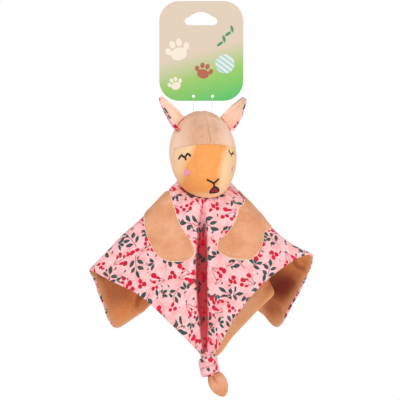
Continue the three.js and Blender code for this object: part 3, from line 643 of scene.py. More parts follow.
# Embroidery. Machine satin stitch in dark brown thread draws the closed eyes, nose and mouth;
# each line is a row of short threads laid side by side across it. Lines are drawn in the
# picture's pixels, 1 mm each, and laid on the skin behind them.
STITCH_SIDES, STITCH_RINGS = 8, 6
PICTURE_ZERO = (201.0, 11.9)


def stitch_tree():
    """Geometry nodes that lay threads across a path, turned to the cloth under them."""
    tree = bpy.data.node_groups.new("stitches", "GeometryNodeTree")
    tree.interface.new_socket("Geometry", in_out="INPUT", socket_type="NodeSocketGeometry")
    tree.interface.new_socket("Geometry", in_out="OUTPUT", socket_type="NodeSocketGeometry")
    sizes = (("Spacing", 0.0005), ("Thickness", 0.0004), ("Slant", 0.3))
    for name, value in sizes:
        tree.interface.new_socket(name, in_out="INPUT", socket_type="NodeSocketFloat").default_value = value
    tree.interface.new_socket("Closed", in_out="INPUT", socket_type="NodeSocketBool")
    tree.interface.new_socket("Thread", in_out="INPUT", socket_type="NodeSocketMaterial")

    def node(kind, settings=None, sockets=None):
        return add_node(tree, kind, settings, sockets)

    given = node("NodeGroupInput").outputs
    line = node("GeometryNodeMeshToCurve", sockets={"Mesh": given["Geometry"]})
    closing = {"Geometry": line.outputs[0], "Cyclic": given["Closed"]}
    ring = node("GeometryNodeSetSplineCyclic", sockets=closing)
    spread = {"Curve": ring.outputs[0], "Length": given["Spacing"]}
    even = node("GeometryNodeResampleCurve", {"mode": "LENGTH"}, spread)
    up = node("GeometryNodeInputNamedAttribute", {"data_type": "FLOAT_VECTOR"}, {"Name": "up"})
    reach = node("GeometryNodeInputNamedAttribute", {"data_type": "FLOAT"}, {"Name": "reach"})
    along = node("GeometryNodeInputTangent")
    stand = node("FunctionNodeAlignRotationToVector", {"axis": "Z"}, {"Vector": up.outputs[0]})
    lie = node(
        "FunctionNodeAlignRotationToVector", {"axis": "X", "pivot_axis": "Z"},
        {"Rotation": stand.outputs[0], "Vector": along.outputs[0]},
    )
    lean = node("ShaderNodeCombineXYZ", sockets={"Z": given["Slant"]})
    slanted = node("FunctionNodeEulerToRotation", sockets={"Euler": lean.outputs[0]})
    laid = node(
        "FunctionNodeRotateRotation", {"rotation_space": "LOCAL"},
        {"Rotation": lie.outputs[0], "Rotate By": slanted.outputs[0]},
    )
    ball = {"Segments": STITCH_SIDES, "Rings": STITCH_RINGS, "Radius": 1.0}
    thread = node("GeometryNodeMeshUVSphere", sockets=ball)
    halves = {"X": given["Thickness"], "Y": reach.outputs[0], "Z": given["Thickness"]}
    size = node("ShaderNodeCombineXYZ", sockets=halves)
    placed = {"Points": even, "Instance": thread, "Rotation": laid, "Scale": size}
    placed = {key: made.outputs[0] for key, made in placed.items()}
    rows = node("GeometryNodeInstanceOnPoints", sockets=placed)
    smooth = node("GeometryNodeSetShadeSmooth", sockets={"Geometry": rows.outputs[0]})
    real = node("GeometryNodeRealizeInstances", sockets={"Geometry": smooth.outputs[0]})
    dye = {"Geometry": real.outputs[0], "Material": given["Thread"]}
    dyed = node("GeometryNodeSetMaterial", sockets=dye)
    node("NodeGroupOutput", sockets={"Geometry": dyed.outputs[0]})
    return tree


STITCHES = stitch_tree()


def satin(name, lines, finish, spacing, thickness, slant, closed=False):
    """A piece of satin stitch. Each line has its points in mm, the cloth's way up there and how far
    its threads reach to each side, in mm."""
    points, ups, reaches, edges = [], [], [], []
    for places, ways_up, reach in lines:
        first = len(points)
        points.extend(np.asarray(places) * MM)
        ups.extend(ways_up)
        reaches.extend(np.broadcast_to(np.asarray(reach, float) * MM, len(places)))
        edges.extend((first + k, first + k + 1) for k in range(len(places) - 1))
        if closed:
            edges.append((first + len(places) - 1, first))
    mesh = bpy.data.meshes.new(name)
    mesh.from_pydata([tuple(p) for p in points], edges, [])
    told = (("up", "FLOAT_VECTOR", "vector", ups), ("reach", "FLOAT", "value", reaches))
    for key, kind, field, values in told:
        attribute = mesh.attributes.new(key, kind, "POINT")
        attribute.data.foreach_set(field, np.asarray(values, np.float32).ravel())
    obj = bpy.data.objects.new(name, mesh)
    scene.collection.objects.link(obj)
    modifier = obj.modifiers.new("stitches", "NODES")
    modifier.node_group = STITCHES
    items = STITCHES.interface.items_tree
    sockets = {item.name: item.identifier for item in items if item.in_out == "INPUT"}
    values = {
        "Spacing": spacing * MM, "Thickness": thickness * MM, "Slant": slant, "Closed": closed,
        "Thread": finish.material,
    }
    for key, value in values.items():
        modifier[sockets[key]] = value
    keep_plain(obj)
    paint(obj.data, finish)
    return obj


def head_gap(points):
    """How far points, in the head's own frame, lie outside the skin."""
    far = np.linalg.norm(points, axis=-1)
    base = points / far[..., None]
    surface = head_reach(base)
    return far - surface + seam_dip(base * surface[..., None])


def on_face(places, lift):
    """Points of the face seen at places of the picture, and the skin's way up there."""
    across, height = (np.asarray(places, float) - PICTURE_ZERO).T * [[1], [-1]]
    near, far = np.full(len(places), -60.0), np.full(len(places), 0.0)
    for _ in range(40):
        middle = (near + far) / 2
        outside = head_gap(to_head(np.stack([across, middle, height], -1))) > 0
        near, far = np.where(outside, middle, near), np.where(outside, far, middle)
    found = to_head(np.stack([across, far, height], -1))
    slopes = [head_gap(found + axis / 2) - head_gap(found - axis / 2) for axis in np.eye(3)]
    ups = unit(np.stack(slopes, -1))
    return to_world(found + ups * lift), ups @ HEAD_AXES.T


dark_thread = Finish("dark_thread", linear(34, 16, 12), Roughness=0.6)
twist = dark_thread.noise(dark_thread.place(), 3000.0, 2.0)
dark_thread.feed("Base Color", dark_thread.mix(twist, linear(20, 8, 6), linear(46, 22, 16)))
dark_thread.feed("Normal", dark_thread.bump(twist, 0.4, 0.0001))
THREAD_LIFT, THREAD_SPACING, THREAD_THICK, THREAD_SLANT = 0.25, 0.32, 0.28, 0.25
LINE_SPOTS, MOUTH_SPOTS, MOUTH_REACH, LIP_THICK = 12, 40, 1.15, 0.24
left_eye = [
    [(178.9, 159.6), (180.4, 157.0), (181.9, 155.5)],
    [(181.9, 155.5), (183.2, 156.7), (184.6, 157.5), (186.1, 156.7), (187.6, 154.0)],
    [(184.9, 157.6), (185.6, 158.9), (186.4, 160.2)],
    [(187.5, 154.3), (189.2, 155.0), (190.8, 156.6)],
]
right_eye = [
    [(228.6, 150.6), (229.4, 153.2), (230.7, 154.4), (232.0, 153.7), (232.9, 151.9)],
    [(230.9, 154.4), (231.3, 156.6)],
    [(232.1, 153.6), (233.5, 154.3)],
]
nose_lines = [
    [(206.9, 179.9), (210.2, 181.6), (213.6, 183.4)],
    [(218.3, 179.0), (216.2, 181.4), (213.6, 183.4)],
    [(213.6, 183.4), (213.8, 185.0), (213.9, 186.6)],
]
mouth_ring = [
    (214.3, 187.3), (216.8, 187.9), (218.1, 189.6), (218.0, 191.6), (215.8, 192.5),
    (212.6, 192.7), (210.2, 192.9), (210.2, 191.4), (211.8, 189.0),
]
for name, node, drawn, reach in (
    ("eye_left_stitches", "eye_left", left_eye, 1.2),
    ("eye_right_stitches", "eye_right", right_eye, 0.65),
    ("nose_stitches", "nose_stitch", nose_lines, 1.1),
):
    lines = [(*on_face(smooth_line(places, LINE_SPOTS), THREAD_LIFT), reach) for places in drawn]
    stitches = satin(name, lines, dark_thread, THREAD_SPACING, THREAD_THICK, THREAD_SLANT)
    dress(stitches, "head", node)
lip = [(*on_face(smooth_line(mouth_ring, MOUTH_SPOTS, closed=True), THREAD_LIFT), MOUTH_REACH)]
lips = satin("mouth_stitches", lip, dark_thread, THREAD_SPACING, LIP_THICK, THREAD_SLANT, closed=True)
dress(lips, "head", "mouth_outline")

# Cheeks and tongue. Flat ovals filled with long satin stitches, lilac pink on the cheeks and
# crimson inside the mouth.
FILL_SPOTS, FILL_LIFT, FILL_SPACING, FILL_THICK, FILL_SLANT = 14, 0.2, 0.34, 0.26, 0.12


def thread_finish(name, shade, colour):
    """Shiny thread whose twist shows as fine shading."""
    made = Finish(name, colour, Roughness=0.5, Sheen_Weight=0.08)
    run = made.noise(made.place(), 2200.0, 2.0)
    made.feed("Base Color", made.mix(made.ramp(run, 0.3, 0.7), shade, colour))
    made.feed("Normal", made.bump(run, 0.3, 0.0001))
    return made


pink_thread = thread_finish("pink_thread", linear(238, 128, 184), linear(255, 176, 220))
crimson_thread = thread_finish("crimson_thread", linear(128, 0, 34), linear(178, 2, 58))


def filled(name, node, spine, half_widths, finish):
    """An oval of stitches across a spine drawn on the picture."""
    reach = np.interp(np.linspace(0, 1, FILL_SPOTS), np.linspace(0, 1, len(half_widths)), half_widths)
    line = (*on_face(smooth_line(spine, FILL_SPOTS), FILL_LIFT), reach)
    stitches = satin(name, [line], finish, FILL_SPACING, FILL_THICK, FILL_SLANT)
    dress(stitches, "head", node)


oval = np.sqrt(np.maximum(1 - (2 * np.linspace(0, 1, 9) - 1) ** 2, 0.05))
left_cheek = [(189.6, 170.2), (187.3, 172.9), (185.0, 175.9)]
right_cheek = [(232.2, 166.4), (232.0, 169.0), (231.4, 171.6)]
tongue = [(210.9, 191.8), (213.6, 190.3), (217.5, 189.8)]
filled("cheek_left_stitches", "cheek_left", left_cheek, 3.1 * oval, pink_thread)
filled("cheek_right_stitches", "cheek_right", right_cheek, 2.2 * oval, pink_thread)
filled("tongue_stitches", "mouth_tongue", tongue, [0.6, 2.0, 2.9, 3.4, 3.5, 3.1, 2.0], crimson_thread)

# Ears. Each is a leaf of velour and a leaf of printed cloth sewn face to face, turned out,
# curled round its length and caught in the crown's side seam.
EAR_LENGTH, EAR_HALF_WIDTH, EAR_ROOT_DEPTH = 34.0, 11.0, 6.0
EAR_CURL_INNER, EAR_CURL_OUTER = math.radians(45), math.radians(125)
EAR_SPREAD = math.radians(39)
EAR_ROOT = np.array([22.0, 3.0, 30.5])
EAR_FOOT_SHARE, EAR_TIP_SHARE, EAR_FULL_SHARE = 0.24, 0.97, 0.8
EAR_LAYER, EAR_CLEAR, EAR_ROOT_FLARE = 1.25, 1.6, 0.38
EAR_ROWS, EAR_COLUMNS = 46, 40
EAR_LUMP, EAR_LUMP_SIZE, EAR_HALF_GAP, EAR_EDGE_THICK = 0.5, 9.0, 0.05, 0.12
EAR_SIDE_ROUND, EAR_TIP_ROUND = 18, 12
EAR_PRINT_AT, EAR_PRINT_SIZE = (60, 90), (26, 40)
EAR_WAY = np.array([math.sin(EAR_SPREAD), 0, math.cos(EAR_SPREAD)])
EAR_ACROSS = np.array([math.cos(EAR_SPREAD), 0, -math.sin(EAR_SPREAD)])
PRINT_BASE = linear(254, 182, 186)
PRINT_PALE = linear(255, 204, 208)
PRINT_CORAL = linear(250, 158, 154)
PRINT_BERRY = linear(222, 6, 62)
PRINT_BERRY_DARK = linear(196, 4, 46)
PRINT_LEAF = linear(52, 88, 84)
PRINT_LEAF_DARK = linear(36, 62, 62)
PRINT_STEM = linear(176, 84, 84)
PRINT_DOT = linear(255, 232, 226)
PLEAT_PAINTED_SHADE = linear(226, 36, 62)
REPEAT, PRINT_DRIFT = 33.0, 9.0
SPRIG_BOW, PAIR_STEP, PAIR_LEAN = 0.012, 6.4, 38
PAIR_LEAF, TIP_LEAF, VEIN = (4.0, 1.95), (4.4, 2.0), (3.2, 0.16)
FAN_LEAF, SMALL_LEAF = (3.6, 1.6), (1.9, 0.8)
SPRIG_STEM, BERRY_STEM, BERRY_REACH, BERRY_SIZE, TRIO_BERRY, PALE_DOT = 0.42, 0.36, 15.5, 2.35, 1.9, 0.62
SPOKE, TRIO_SPOKE, LEAF_SPOKE = 0.46, 2.09, 0.85
LEAF_CELL, DOT_CELL, LEAF_SHARE, DOT_SHARE = 8.4, 5.3, 0.45, 0.6


def printed_cloth(name):
    """Plush cotton printed with common berry and leaf sprigs, laid out by the cloth's own measure in mm."""
    made = Finish(name, PRINT_BASE, Roughness=0.9, Sheen_Weight=0.25, Sheen_Roughness=0.5)
    made.cloth.inputs["Sheen Tint"].default_value = PRINT_PALE
    mm = made.vector("SCALE", made.node("ShaderNodeUVMap", {"uv_map": "UVMap"}), 1 / MM)
    drift = made.vector("SUBTRACT", made.noise(mm, 0.035, 1.0, output="Color"), (0.5, 0.5, 0.5))
    laid = made.vector("ADD", mm, made.vector("SCALE", drift, PRINT_DRIFT))

    def cell(size, shift, seed, sway, spun=True):
        """Each square of the repeat: x and y from its middle, spun by chance, and two chances."""
        shift = shift if isinstance(shift, tuple) else (shift, shift)
        scaled = made.vector("SCALE", made.vector("ADD", laid, (*shift, 0)), 1 / size)
        whole = made.vector("FLOOR", scaled)
        keyed = made.vector("ADD", whole, (seed, seed, seed))
        three_way = {"noise_dimensions": "3D"}
        chances = made.node("ShaderNodeTexWhiteNoise", three_way, {"Vector": keyed}, output=1)
        first, second, third = made.axes(chances)
        u, v, _ = made.axes(made.vector("SUBTRACT", scaled, whole))
        x = (u - 0.5) * size + (second - 0.5) * sway
        y = (v - 0.5) * size + (third - 0.5) * sway
        if not spun:
            return x, y, first, second
        angle = first * (2 * math.pi)
        cos, sin = angle.math("COSINE"), angle.math("SINE")
        return x * cos + y * sin, y * cos - x * sin, second, third

    def leaf(x, y, half_length, half_width):
        """More than 0 inside a pointed leaf that lies along x."""
        u = x / half_length
        return half_width * (1 - u * u) - abs(y)

    def edge(inside, soft=0.12):
        return made.ramp(inside, -soft, soft)

    def away_from(x, y):
        return (x * x + y * y) ** 0.5

    def fan(x, y, spoke, most):
        """Told from the nearest spoke of a fan: along it, aside of it, its number and whether it counts."""
        around = x.math("ARCTAN2", y)
        number = (around / spoke + 0.5).math("FLOOR")
        rest, far = around - number * spoke, away_from(x, y)
        return far * rest.math("COSINE"), far * rest.math("SINE"), number, edge(most - abs(number), 0.05)

    # leaf sprigs: mirrored pairs along a bowed stem, and one leaf at its end
    x, y, _, _ = cell(REPEAT, 0.0, 3.0, 6.0)
    x = x - y * y * SPRIG_BOW + 0.8
    pair = (y + PAIR_STEP).math("MODULO", PAIR_STEP) - PAIR_STEP / 2
    in_reach = edge(6.2 - abs(y + 0.2), 0.1)
    along, aside = turned(abs(x) - 4.3, pair - 0.6, PAIR_LEAN)
    pairs = edge(leaf(along, aside, *PAIR_LEAF)) * in_reach
    veins = edge(leaf(along, aside, *VEIN)) * in_reach
    sprigs = stronger([pairs, edge(leaf(*turned(x, y - 9.4, 90), *TIP_LEAF))])
    sprig_stems = edge(SPRIG_STEM - abs(x), 0.1) * edge(9.0 - abs(y + 0.6), 0.1)

    # berry sprigs: fine stems that fan out from a foot, each with two berries
    x, y, chance, other = cell(REPEAT, REPEAT / 2, 11.0, 5.0)
    y = y + 9.0
    far = away_from(x, y)
    along, aside, number, counts = fan(x, y, SPOKE, 1.5)
    reach = BERRY_REACH + (number * 2.4 + chance * 9.0).math("SINE") * 3.4
    size = BERRY_SIZE + (number * 1.7 + other * 5.0).math("SINE") * 0.45
    tips = edge(size - away_from(along - reach, aside))
    beside = edge(size - 0.3 - away_from(along - reach + 4.4, aside - 1.4))
    berries = stronger([tips, beside]) * counts
    stems = edge(BERRY_STEM - abs(aside), 0.1) * edge(reach - far, 0.1) * counts * edge(far - 1.0, 0.3)

    # clusters of three berries and of three leaves between the sprigs, single leaves and pale dots
    x, y, chance, _ = cell(REPEAT, (0.0, REPEAT / 2), 23.0, 5.0)
    along, aside, _, counts = fan(x, y, TRIO_SPOKE, 1.6)
    trios = edge(TRIO_BERRY + chance * 0.5 - away_from(along - 2.8, aside)) * counts
    x, y, _, _ = cell(REPEAT, (REPEAT / 2, 0.0), 29.0, 5.0)
    along, aside, _, counts = fan(x, y, LEAF_SPOKE, 1.5)
    leaves = edge(leaf(along - 4.8, aside, *FAN_LEAF)) * counts
    x, y, chance, _ = cell(LEAF_CELL, 2.0, 37.0, 4.0)
    small = edge(leaf(x, y, *SMALL_LEAF)) * edge(LEAF_SHARE - chance, 0.01)
    x, y, chance, _ = cell(DOT_CELL, 1.0, 53.0, 3.0, spun=False)
    dots = edge(PALE_DOT - away_from(x, y)) * edge(DOT_SHARE - chance, 0.01)

    # the ground's blotches, and painted shade on the front pleat's floor, which lies in red light from its
    # sides
    blotch = made.noise(mm, 0.10, 3.0)
    wash = made.noise(mm, 0.33, 2.0)
    colour = made.mix(made.ramp(blotch, 0.42, 0.66) * 0.75, PRINT_PALE, PRINT_CORAL)
    colour = made.mix(made.ramp(wash, 0.35, 0.65) * 0.4, colour, PRINT_BASE)
    across, behind, height = (axis / MM for axis in made.axes(made.place()))
    # painted shade: deep in the front pleat the print is painted a dark red
    pleat = made.ramp(behind, -36.0, -22.0) * made.ramp(behind, 24.0, 16.0)
    pleat = pleat * made.ramp(abs(across - 2.0), 15.0, 11.0) * made.ramp(height, -203.0, -228.0)
    leaf_tone = made.mix(made.ramp(wash, 0.4, 0.6), PRINT_LEAF_DARK, PRINT_LEAF)
    berry_tone = made.mix(made.ramp(blotch, 0.4, 0.6), PRINT_BERRY_DARK, PRINT_BERRY)
    for mask, tone in (
        (dots * 0.75, PRINT_DOT), (pleat * 0.9, PLEAT_PAINTED_SHADE),
        (stronger([stems, sprig_stems]) * 0.9, PRINT_STEM), (small, leaf_tone),
        (stronger([sprigs, leaves]), leaf_tone), (stronger([berries, trios]), berry_tone),
        (veins * 0.4, PRINT_STEM),
    ):
        colour = made.mix(mask, colour, tone)
    made.feed("Base Color", colour)
    soft = made.bump(made.noise(mm, 1.1, 3.0), 0.25, 0.0007)
    made.feed("Normal", made.bump(made.noise(mm, 3.2, 2.0), 0.4, 0.0003, soft))
    return made


printed = printed_cloth("printed_cotton")


def ear_points(side, share, across):
    """Points of an ear's middle layer in the head's own frame: share runs up it, across from edge
    to edge."""
    along = EAR_FOOT_SHARE + (EAR_TIP_SHARE - EAR_FOOT_SHARE) * share
    flare = 1 + EAR_ROOT_FLARE * (1 - share) ** 2
    half = EAR_HALF_WIDTH * np.sin(math.pi * along) ** EAR_FULL_SHARE * flare
    curl = EAR_CURL_INNER + EAR_CURL_OUTER
    bend = 2 * half / curl
    turn = -EAR_CURL_INNER + curl * across
    foot = EAR_ROOT + EAR_WAY * (share * (EAR_LENGTH + EAR_ROOT_DEPTH) - EAR_ROOT_DEPTH)[..., None]
    points = foot + EAR_ACROSS * (bend * np.sin(turn))[..., None]
    points[..., 1] -= bend * (1 - np.cos(turn))
    points[..., 0] *= side
    return points


def grid_ways(points):
    """The way square to a grid of points at each of them."""
    return unit(np.cross(np.gradient(points, axis=1), np.gradient(points, axis=0)))


def layer(points, ways, near, far, wraps=False):
    """Points and faces of one thickness of cloth between two offsets of a grid; its inner side faces in."""
    rows, columns = points.shape[:2]
    inner, outer = points + ways * near[..., None], points + ways * far[..., None]
    every = np.concatenate([inner.reshape(-1, 3), outer.reshape(-1, 3)])
    count, last = rows * columns, (rows - 1) * columns
    faces = []
    for j in range(columns if wraps else columns - 1):
        k = (j + 1) % columns
        for i in range(0, last, columns):
            a, b, c, d = i + j, i + k, i + columns + k, i + columns + j
            faces.append((count + a, count + b, count + c, count + d))
            faces.append((a, d, c, b))
        faces.append((last + j, count + last + j, count + last + k, last + k))
        faces.append((count + j, j, k, count + k))
    if not wraps:
        for a in range(0, last, columns):
            b, c, d = a + columns, a + columns - 1, a + 2 * columns - 1
            faces.append((a, count + a, count + b, b))
            faces.append((count + c, c, d, count + d))
    return every, faces


up_ear, over_ear = np.meshgrid(np.linspace(0, 1, EAR_ROWS), np.linspace(0, 1, EAR_COLUMNS), indexing="ij")
for name, side in (("left", -1), ("right", 1)):
    middle = ear_points(side, up_ear, over_ear)
    if side > 0:
        middle = middle[:, ::-1]
    middle = middle + grid_ways(middle) * EAR_LUMP * lumps(middle, EAR_LUMP_SIZE, 4 + side)[..., None]
    middle = middle + unit(middle) * np.maximum(EAR_CLEAR - head_gap(middle), 0)[..., None]
    ways = grid_ways(middle)
    from_side, from_tip = np.minimum(over_ear, 1 - over_ear), 1 - up_ear
    from_edge = np.clip(np.minimum(from_side * EAR_SIDE_ROUND, from_tip * EAR_TIP_ROUND), 0, 1)
    plump = EAR_EDGE_THICK + np.sqrt(1 - (1 - from_edge) ** 2) * EAR_LAYER
    thin = np.full_like(plump, EAR_HALF_GAP)
    print_across = side * EAR_PRINT_AT[0] + (over_ear - 0.5) * EAR_PRINT_SIZE[0]
    print_up = up_ear * EAR_PRINT_SIZE[1] + EAR_PRINT_AT[1]
    uv = np.stack([print_across, print_up], -1).reshape(-1, 2) * MM
    mirror = np.array([side, 1, 1])
    root, way = to_world(EAR_ROOT * mirror) * MM, (EAR_WAY * mirror) @ HEAD_AXES.T
    leaves = (("velour", -plump, -thin, crown_velour), ("print", thin, plump, printed))
    for part, near, far, finish in leaves:
        points, faces = layer(to_world(middle), ways @ HEAD_AXES.T, near, far)
        ear = piece(f"ear_{name}_{part}_leaf", points * MM, faces, finish, np.concatenate([uv, uv]))
        root - way * 0.004
        root + way * 0.006
        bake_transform(ear)
        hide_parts(f"ear_{name}_{part}")

# Neck. A short tube of velour, gathered by the seams at both its ends, which join it to the
# head's opening and to the blanket's middle.
SLEEVE_RADIUS, SLEEVE_THICK, SLEEVE_ROWS, SLEEVE_COLUMNS = 15.0, 1.2, 9, 180
SLEEVE_PLEATS, SLEEVE_PLEAT_DEPTH, SLEEVE_INSET, SLEEVE_EDGE = 18, 0.5, 0.7, 0.35
# Painted shade in the folds of the blanket's side flaps: each fold's middle across and up, half length,
# half width, turn in degrees and how dark it is.
LINING_FOLD_SHADES = (
    (83, -276, 17, 14, 40, 1.0), (70, -297, 13, 8, -50, 0.5), (98, -254, 10, 3.5, -40, 0.6),
    (-103, -263, 8, 5, -45, 0.75), (-85, -280, 20, 14, -20, 0.42), (-62, -290, 13, 3.5, 62, 0.6),
)
# The lining is painted a darker orange on its side flaps and darker still in their folds, both painted
# shade, and paler along its hem, a painted highlight.
lining_velour = velour(
    "lining_velour", linear(250, 200, 158), linear(238, 172, 126), linear(252, 214, 178), 1.2,
    sides=linear(236, 146, 82), painted_side_reach=(8.0, 46.0, 62.0, 0.0),
    painted_crease_shade=linear(136, 36, 18), folds=LINING_FOLD_SHADES, edge=linear(244, 178, 126),
)


def across_neck(angle, radius):
    """Ways square to the neck at angles round it, from its front towards the toy's right."""
    sideways = -radius * np.sin(angle)[..., None] * np.array([1.0, 0, 0])
    return sideways + radius * np.cos(angle)[..., None] * NECK_FRONT


up_sleeve, round_sleeve = np.meshgrid(
    np.linspace(SLEEVE_HEIGHT - SLEEVE_EDGE, SLEEVE_EDGE, SLEEVE_ROWS),
    np.linspace(0, 2 * math.pi, SLEEVE_COLUMNS, endpoint=False), indexing="ij",
)
pleats = np.cos(SLEEVE_PLEATS * round_sleeve + 0.4 * np.sin(3 * round_sleeve))
gathers = SLEEVE_RADIUS - SLEEVE_INSET + SLEEVE_PLEAT_DEPTH * pleats
outward = across_neck(round_sleeve, gathers[..., None])
flush = np.zeros(outward.shape[:2])
gathered = NECK_CENTRE + outward + up_sleeve[..., None] * NECK_UP
points, faces = layer(gathered, unit(outward), flush - SLEEVE_THICK / 2, flush, wraps=True)
sleeve = piece("neck_gathers", points * MM, faces, lining_velour)
dress(sleeve, "neck", "neck_sleeve")

# Blanket. A square of printed plush and a square of velour sewn together at the hem, hung by
# its middle from the neck. It falls in folds: a deep pleat down the front, long ridges to
# the front corners and two side corners swept back so that their velour shows.
SKIRT_SIZE = np.array([110.0, 100, 160])
# each fold line has its angle round the neck, then its places halfway and at the hem, as shares
# of SKIRT_SIZE
FOLDS = np.array([
    [0, -0.005, -0.15, -0.51, 0.02, -0.27, -1.03], [2.5, -0.060, -0.17, -0.51, 0.005, -0.27, -1.03],
    [6, -0.080, -0.35, -0.51, -0.005, -0.32, -1.035], [10, -0.135, -0.375, -0.51, -0.045, -0.34, -0.985],
    [17, -0.22, -0.42, -0.50, -0.24, -0.40, -0.85], [30, -0.40, -0.43, -0.44, -0.55, -0.40, -0.65],
    [43, -0.56, -0.36, -0.33, -0.85, -0.33, -0.545], [54, -0.62, -0.26, -0.23, -1.02, -0.24, -0.485],
    [62, -0.62, -0.12, -0.21, -1.00, -0.06, -0.54], [76, -0.57, 0.08, -0.19, -0.92, 0.26, -0.71],
    [90, -0.49, 0.28, -0.19, -0.825, 0.58, -0.86], [104, -0.40, 0.42, -0.21, -0.61, 0.60, -0.79],
    [120, -0.31, 0.42, -0.21, -0.46, 0.52, -0.69], [135, -0.29, 0.52, -0.17, -0.45, 0.84, -0.56],
    [150, -0.20, 0.42, -0.24, -0.29, 0.62, -0.71], [165, -0.09, 0.34, -0.31, -0.11, 0.44, -0.90],
    [180, 0.01, 0.32, -0.36, 0.10, 0.30, -1.04], [195, 0.13, 0.32, -0.31, 0.29, 0.23, -0.90],
    [210, 0.25, 0.30, -0.26, 0.51, 0.20, -0.74], [224, 0.36, 0.29, -0.20, 0.65, 0.22, -0.64],
    [235, 0.36, 0.36, -0.19, 0.55, 0.44, -0.62], [248, 0.37, 0.40, -0.19, 0.40, 0.68, -0.68],
    [259, 0.41, 0.37, -0.20, 0.55, 0.70, -0.78], [270, 0.44, 0.32, -0.19, 0.70, 0.60, -0.86],
    [285, 0.56, 0.10, -0.20, 0.84, 0.30, -0.69], [299, 0.68, -0.10, -0.27, 0.97, -0.04, -0.49],
    [307, 0.72, -0.24, -0.30, 0.98, -0.26, -0.39], [318, 0.58, -0.36, -0.34, 0.78, -0.34, -0.44],
    [331, 0.35, -0.44, -0.42, 0.49, -0.42, -0.60], [344, 0.20, -0.42, -0.51, 0.25, -0.39, -0.82],
    [350, 0.100, -0.38, -0.51, 0.125, -0.345, -0.985], [354, 0.055, -0.36, -0.51, 0.065, -0.32, -1.035],
    [357.5, 0.042, -0.17, -0.51, 0.045, -0.27, -1.03],
])
COLLAR_RADIUS, COLLAR_RISE_FRONT, COLLAR_RISE_SIDE = 27.0, 4.0, 7.0
CLOTH_LIFT, LAYER_THICK, LAYER_GAP = 1.15, 1.0, 0.12
CLOTH_COLUMNS, CLOTH_ROWS = 400, 96
HEM_ROWS, HEM_ROLLS, HEM_HIGHLIGHT_SHARE = 4.5, ((36, 104), (252, 318)), 0.045
HEM_ROUND, HEM_STEPS = 0.016, (0.98, 0.985, 0.99, 0.9944, 0.998, 1.0)
NECK_DISC = (10.0, 5.0)
FULL = 2 * math.pi
fold_angles = np.radians(FOLDS[:, 0])


def between_folds(angle, first):
    """A smooth place between the fold lines on either side of an angle round the neck."""
    count = len(FOLDS)
    wrapped = np.mod(angle, FULL)
    low = np.searchsorted(fold_angles, wrapped, side="right") - 1
    at, point = [], []
    for k in (low - 1, low, low + 1, low + 2):
        at.append(fold_angles[k % count] + FULL * np.floor(k / count))
        point.append(FOLDS[k % count, first:first + 3])
    span = at[2] - at[1]
    leave = (point[2] - point[0]) * (span / (at[2] - at[0]))[..., None]
    arrive = (point[3] - point[1]) * (span / (at[3] - at[1]))[..., None]
    s = ((wrapped - at[1]) / span)[..., None]
    return (
        point[1] * (1 + 2 * s) * (1 - s) ** 2 + point[2] * s * s * (3 - 2 * s)
        + leave * s * (1 - s) ** 2 - arrive * s * s * (1 - s)
    )


def round_neck(angle, radius, rise=0.0):
    """Places of a ring of cloth round the neck, risen from the blanket's middle."""
    return NECK_CENTRE + across_neck(angle, radius) + (rise - CLOTH_LIFT) * NECK_UP


def drape(angle, down):
    """Places of the cloth by angle round the neck and way down it: 0 at the sleeve, 1/3 at the
    collar, 1 at the hem."""
    rise = COLLAR_RISE_FRONT + (COLLAR_RISE_SIDE - COLLAR_RISE_FRONT) * np.sin(angle)[..., None] ** 2
    ring = round_neck(angle, SLEEVE_RADIUS)
    crest = round_neck(angle, COLLAR_RADIUS, rise)
    middle = NECK_CENTRE + between_folds(angle, 1) * SKIRT_SIZE
    hem = NECK_CENTRE + between_folds(angle, 4) * SKIRT_SIZE
    rib = np.stack([2 * ring - crest, ring, crest, middle, hem, 2 * hem - middle])
    part = np.minimum((down * 3).astype(int), 2)
    s = (down * 3 - part)[..., None]
    a, b, c, d = [np.take_along_axis(rib, (part + k)[None, ..., None], 0)[0] for k in range(4)]
    lengths = [np.linalg.norm(far - near, axis=-1, keepdims=True) for near, far in ((a, b), (b, c), (c, d))]
    ab, bc, cd = [np.maximum(length, 1e-4) ** 0.5 for length in lengths]
    leave = ((b - a) / ab - (c - a) / (ab + bc) + (c - b) / bc) * bc
    arrive = ((c - b) / bc - (d - b) / (bc + cd) + (d - c) / cd) * bc
    bow, twist = 3 * (c - b) - 2 * leave - arrive, 2 * (b - c) + leave + arrive
    return b + leave * s + bow * s ** 2 + twist * s ** 3


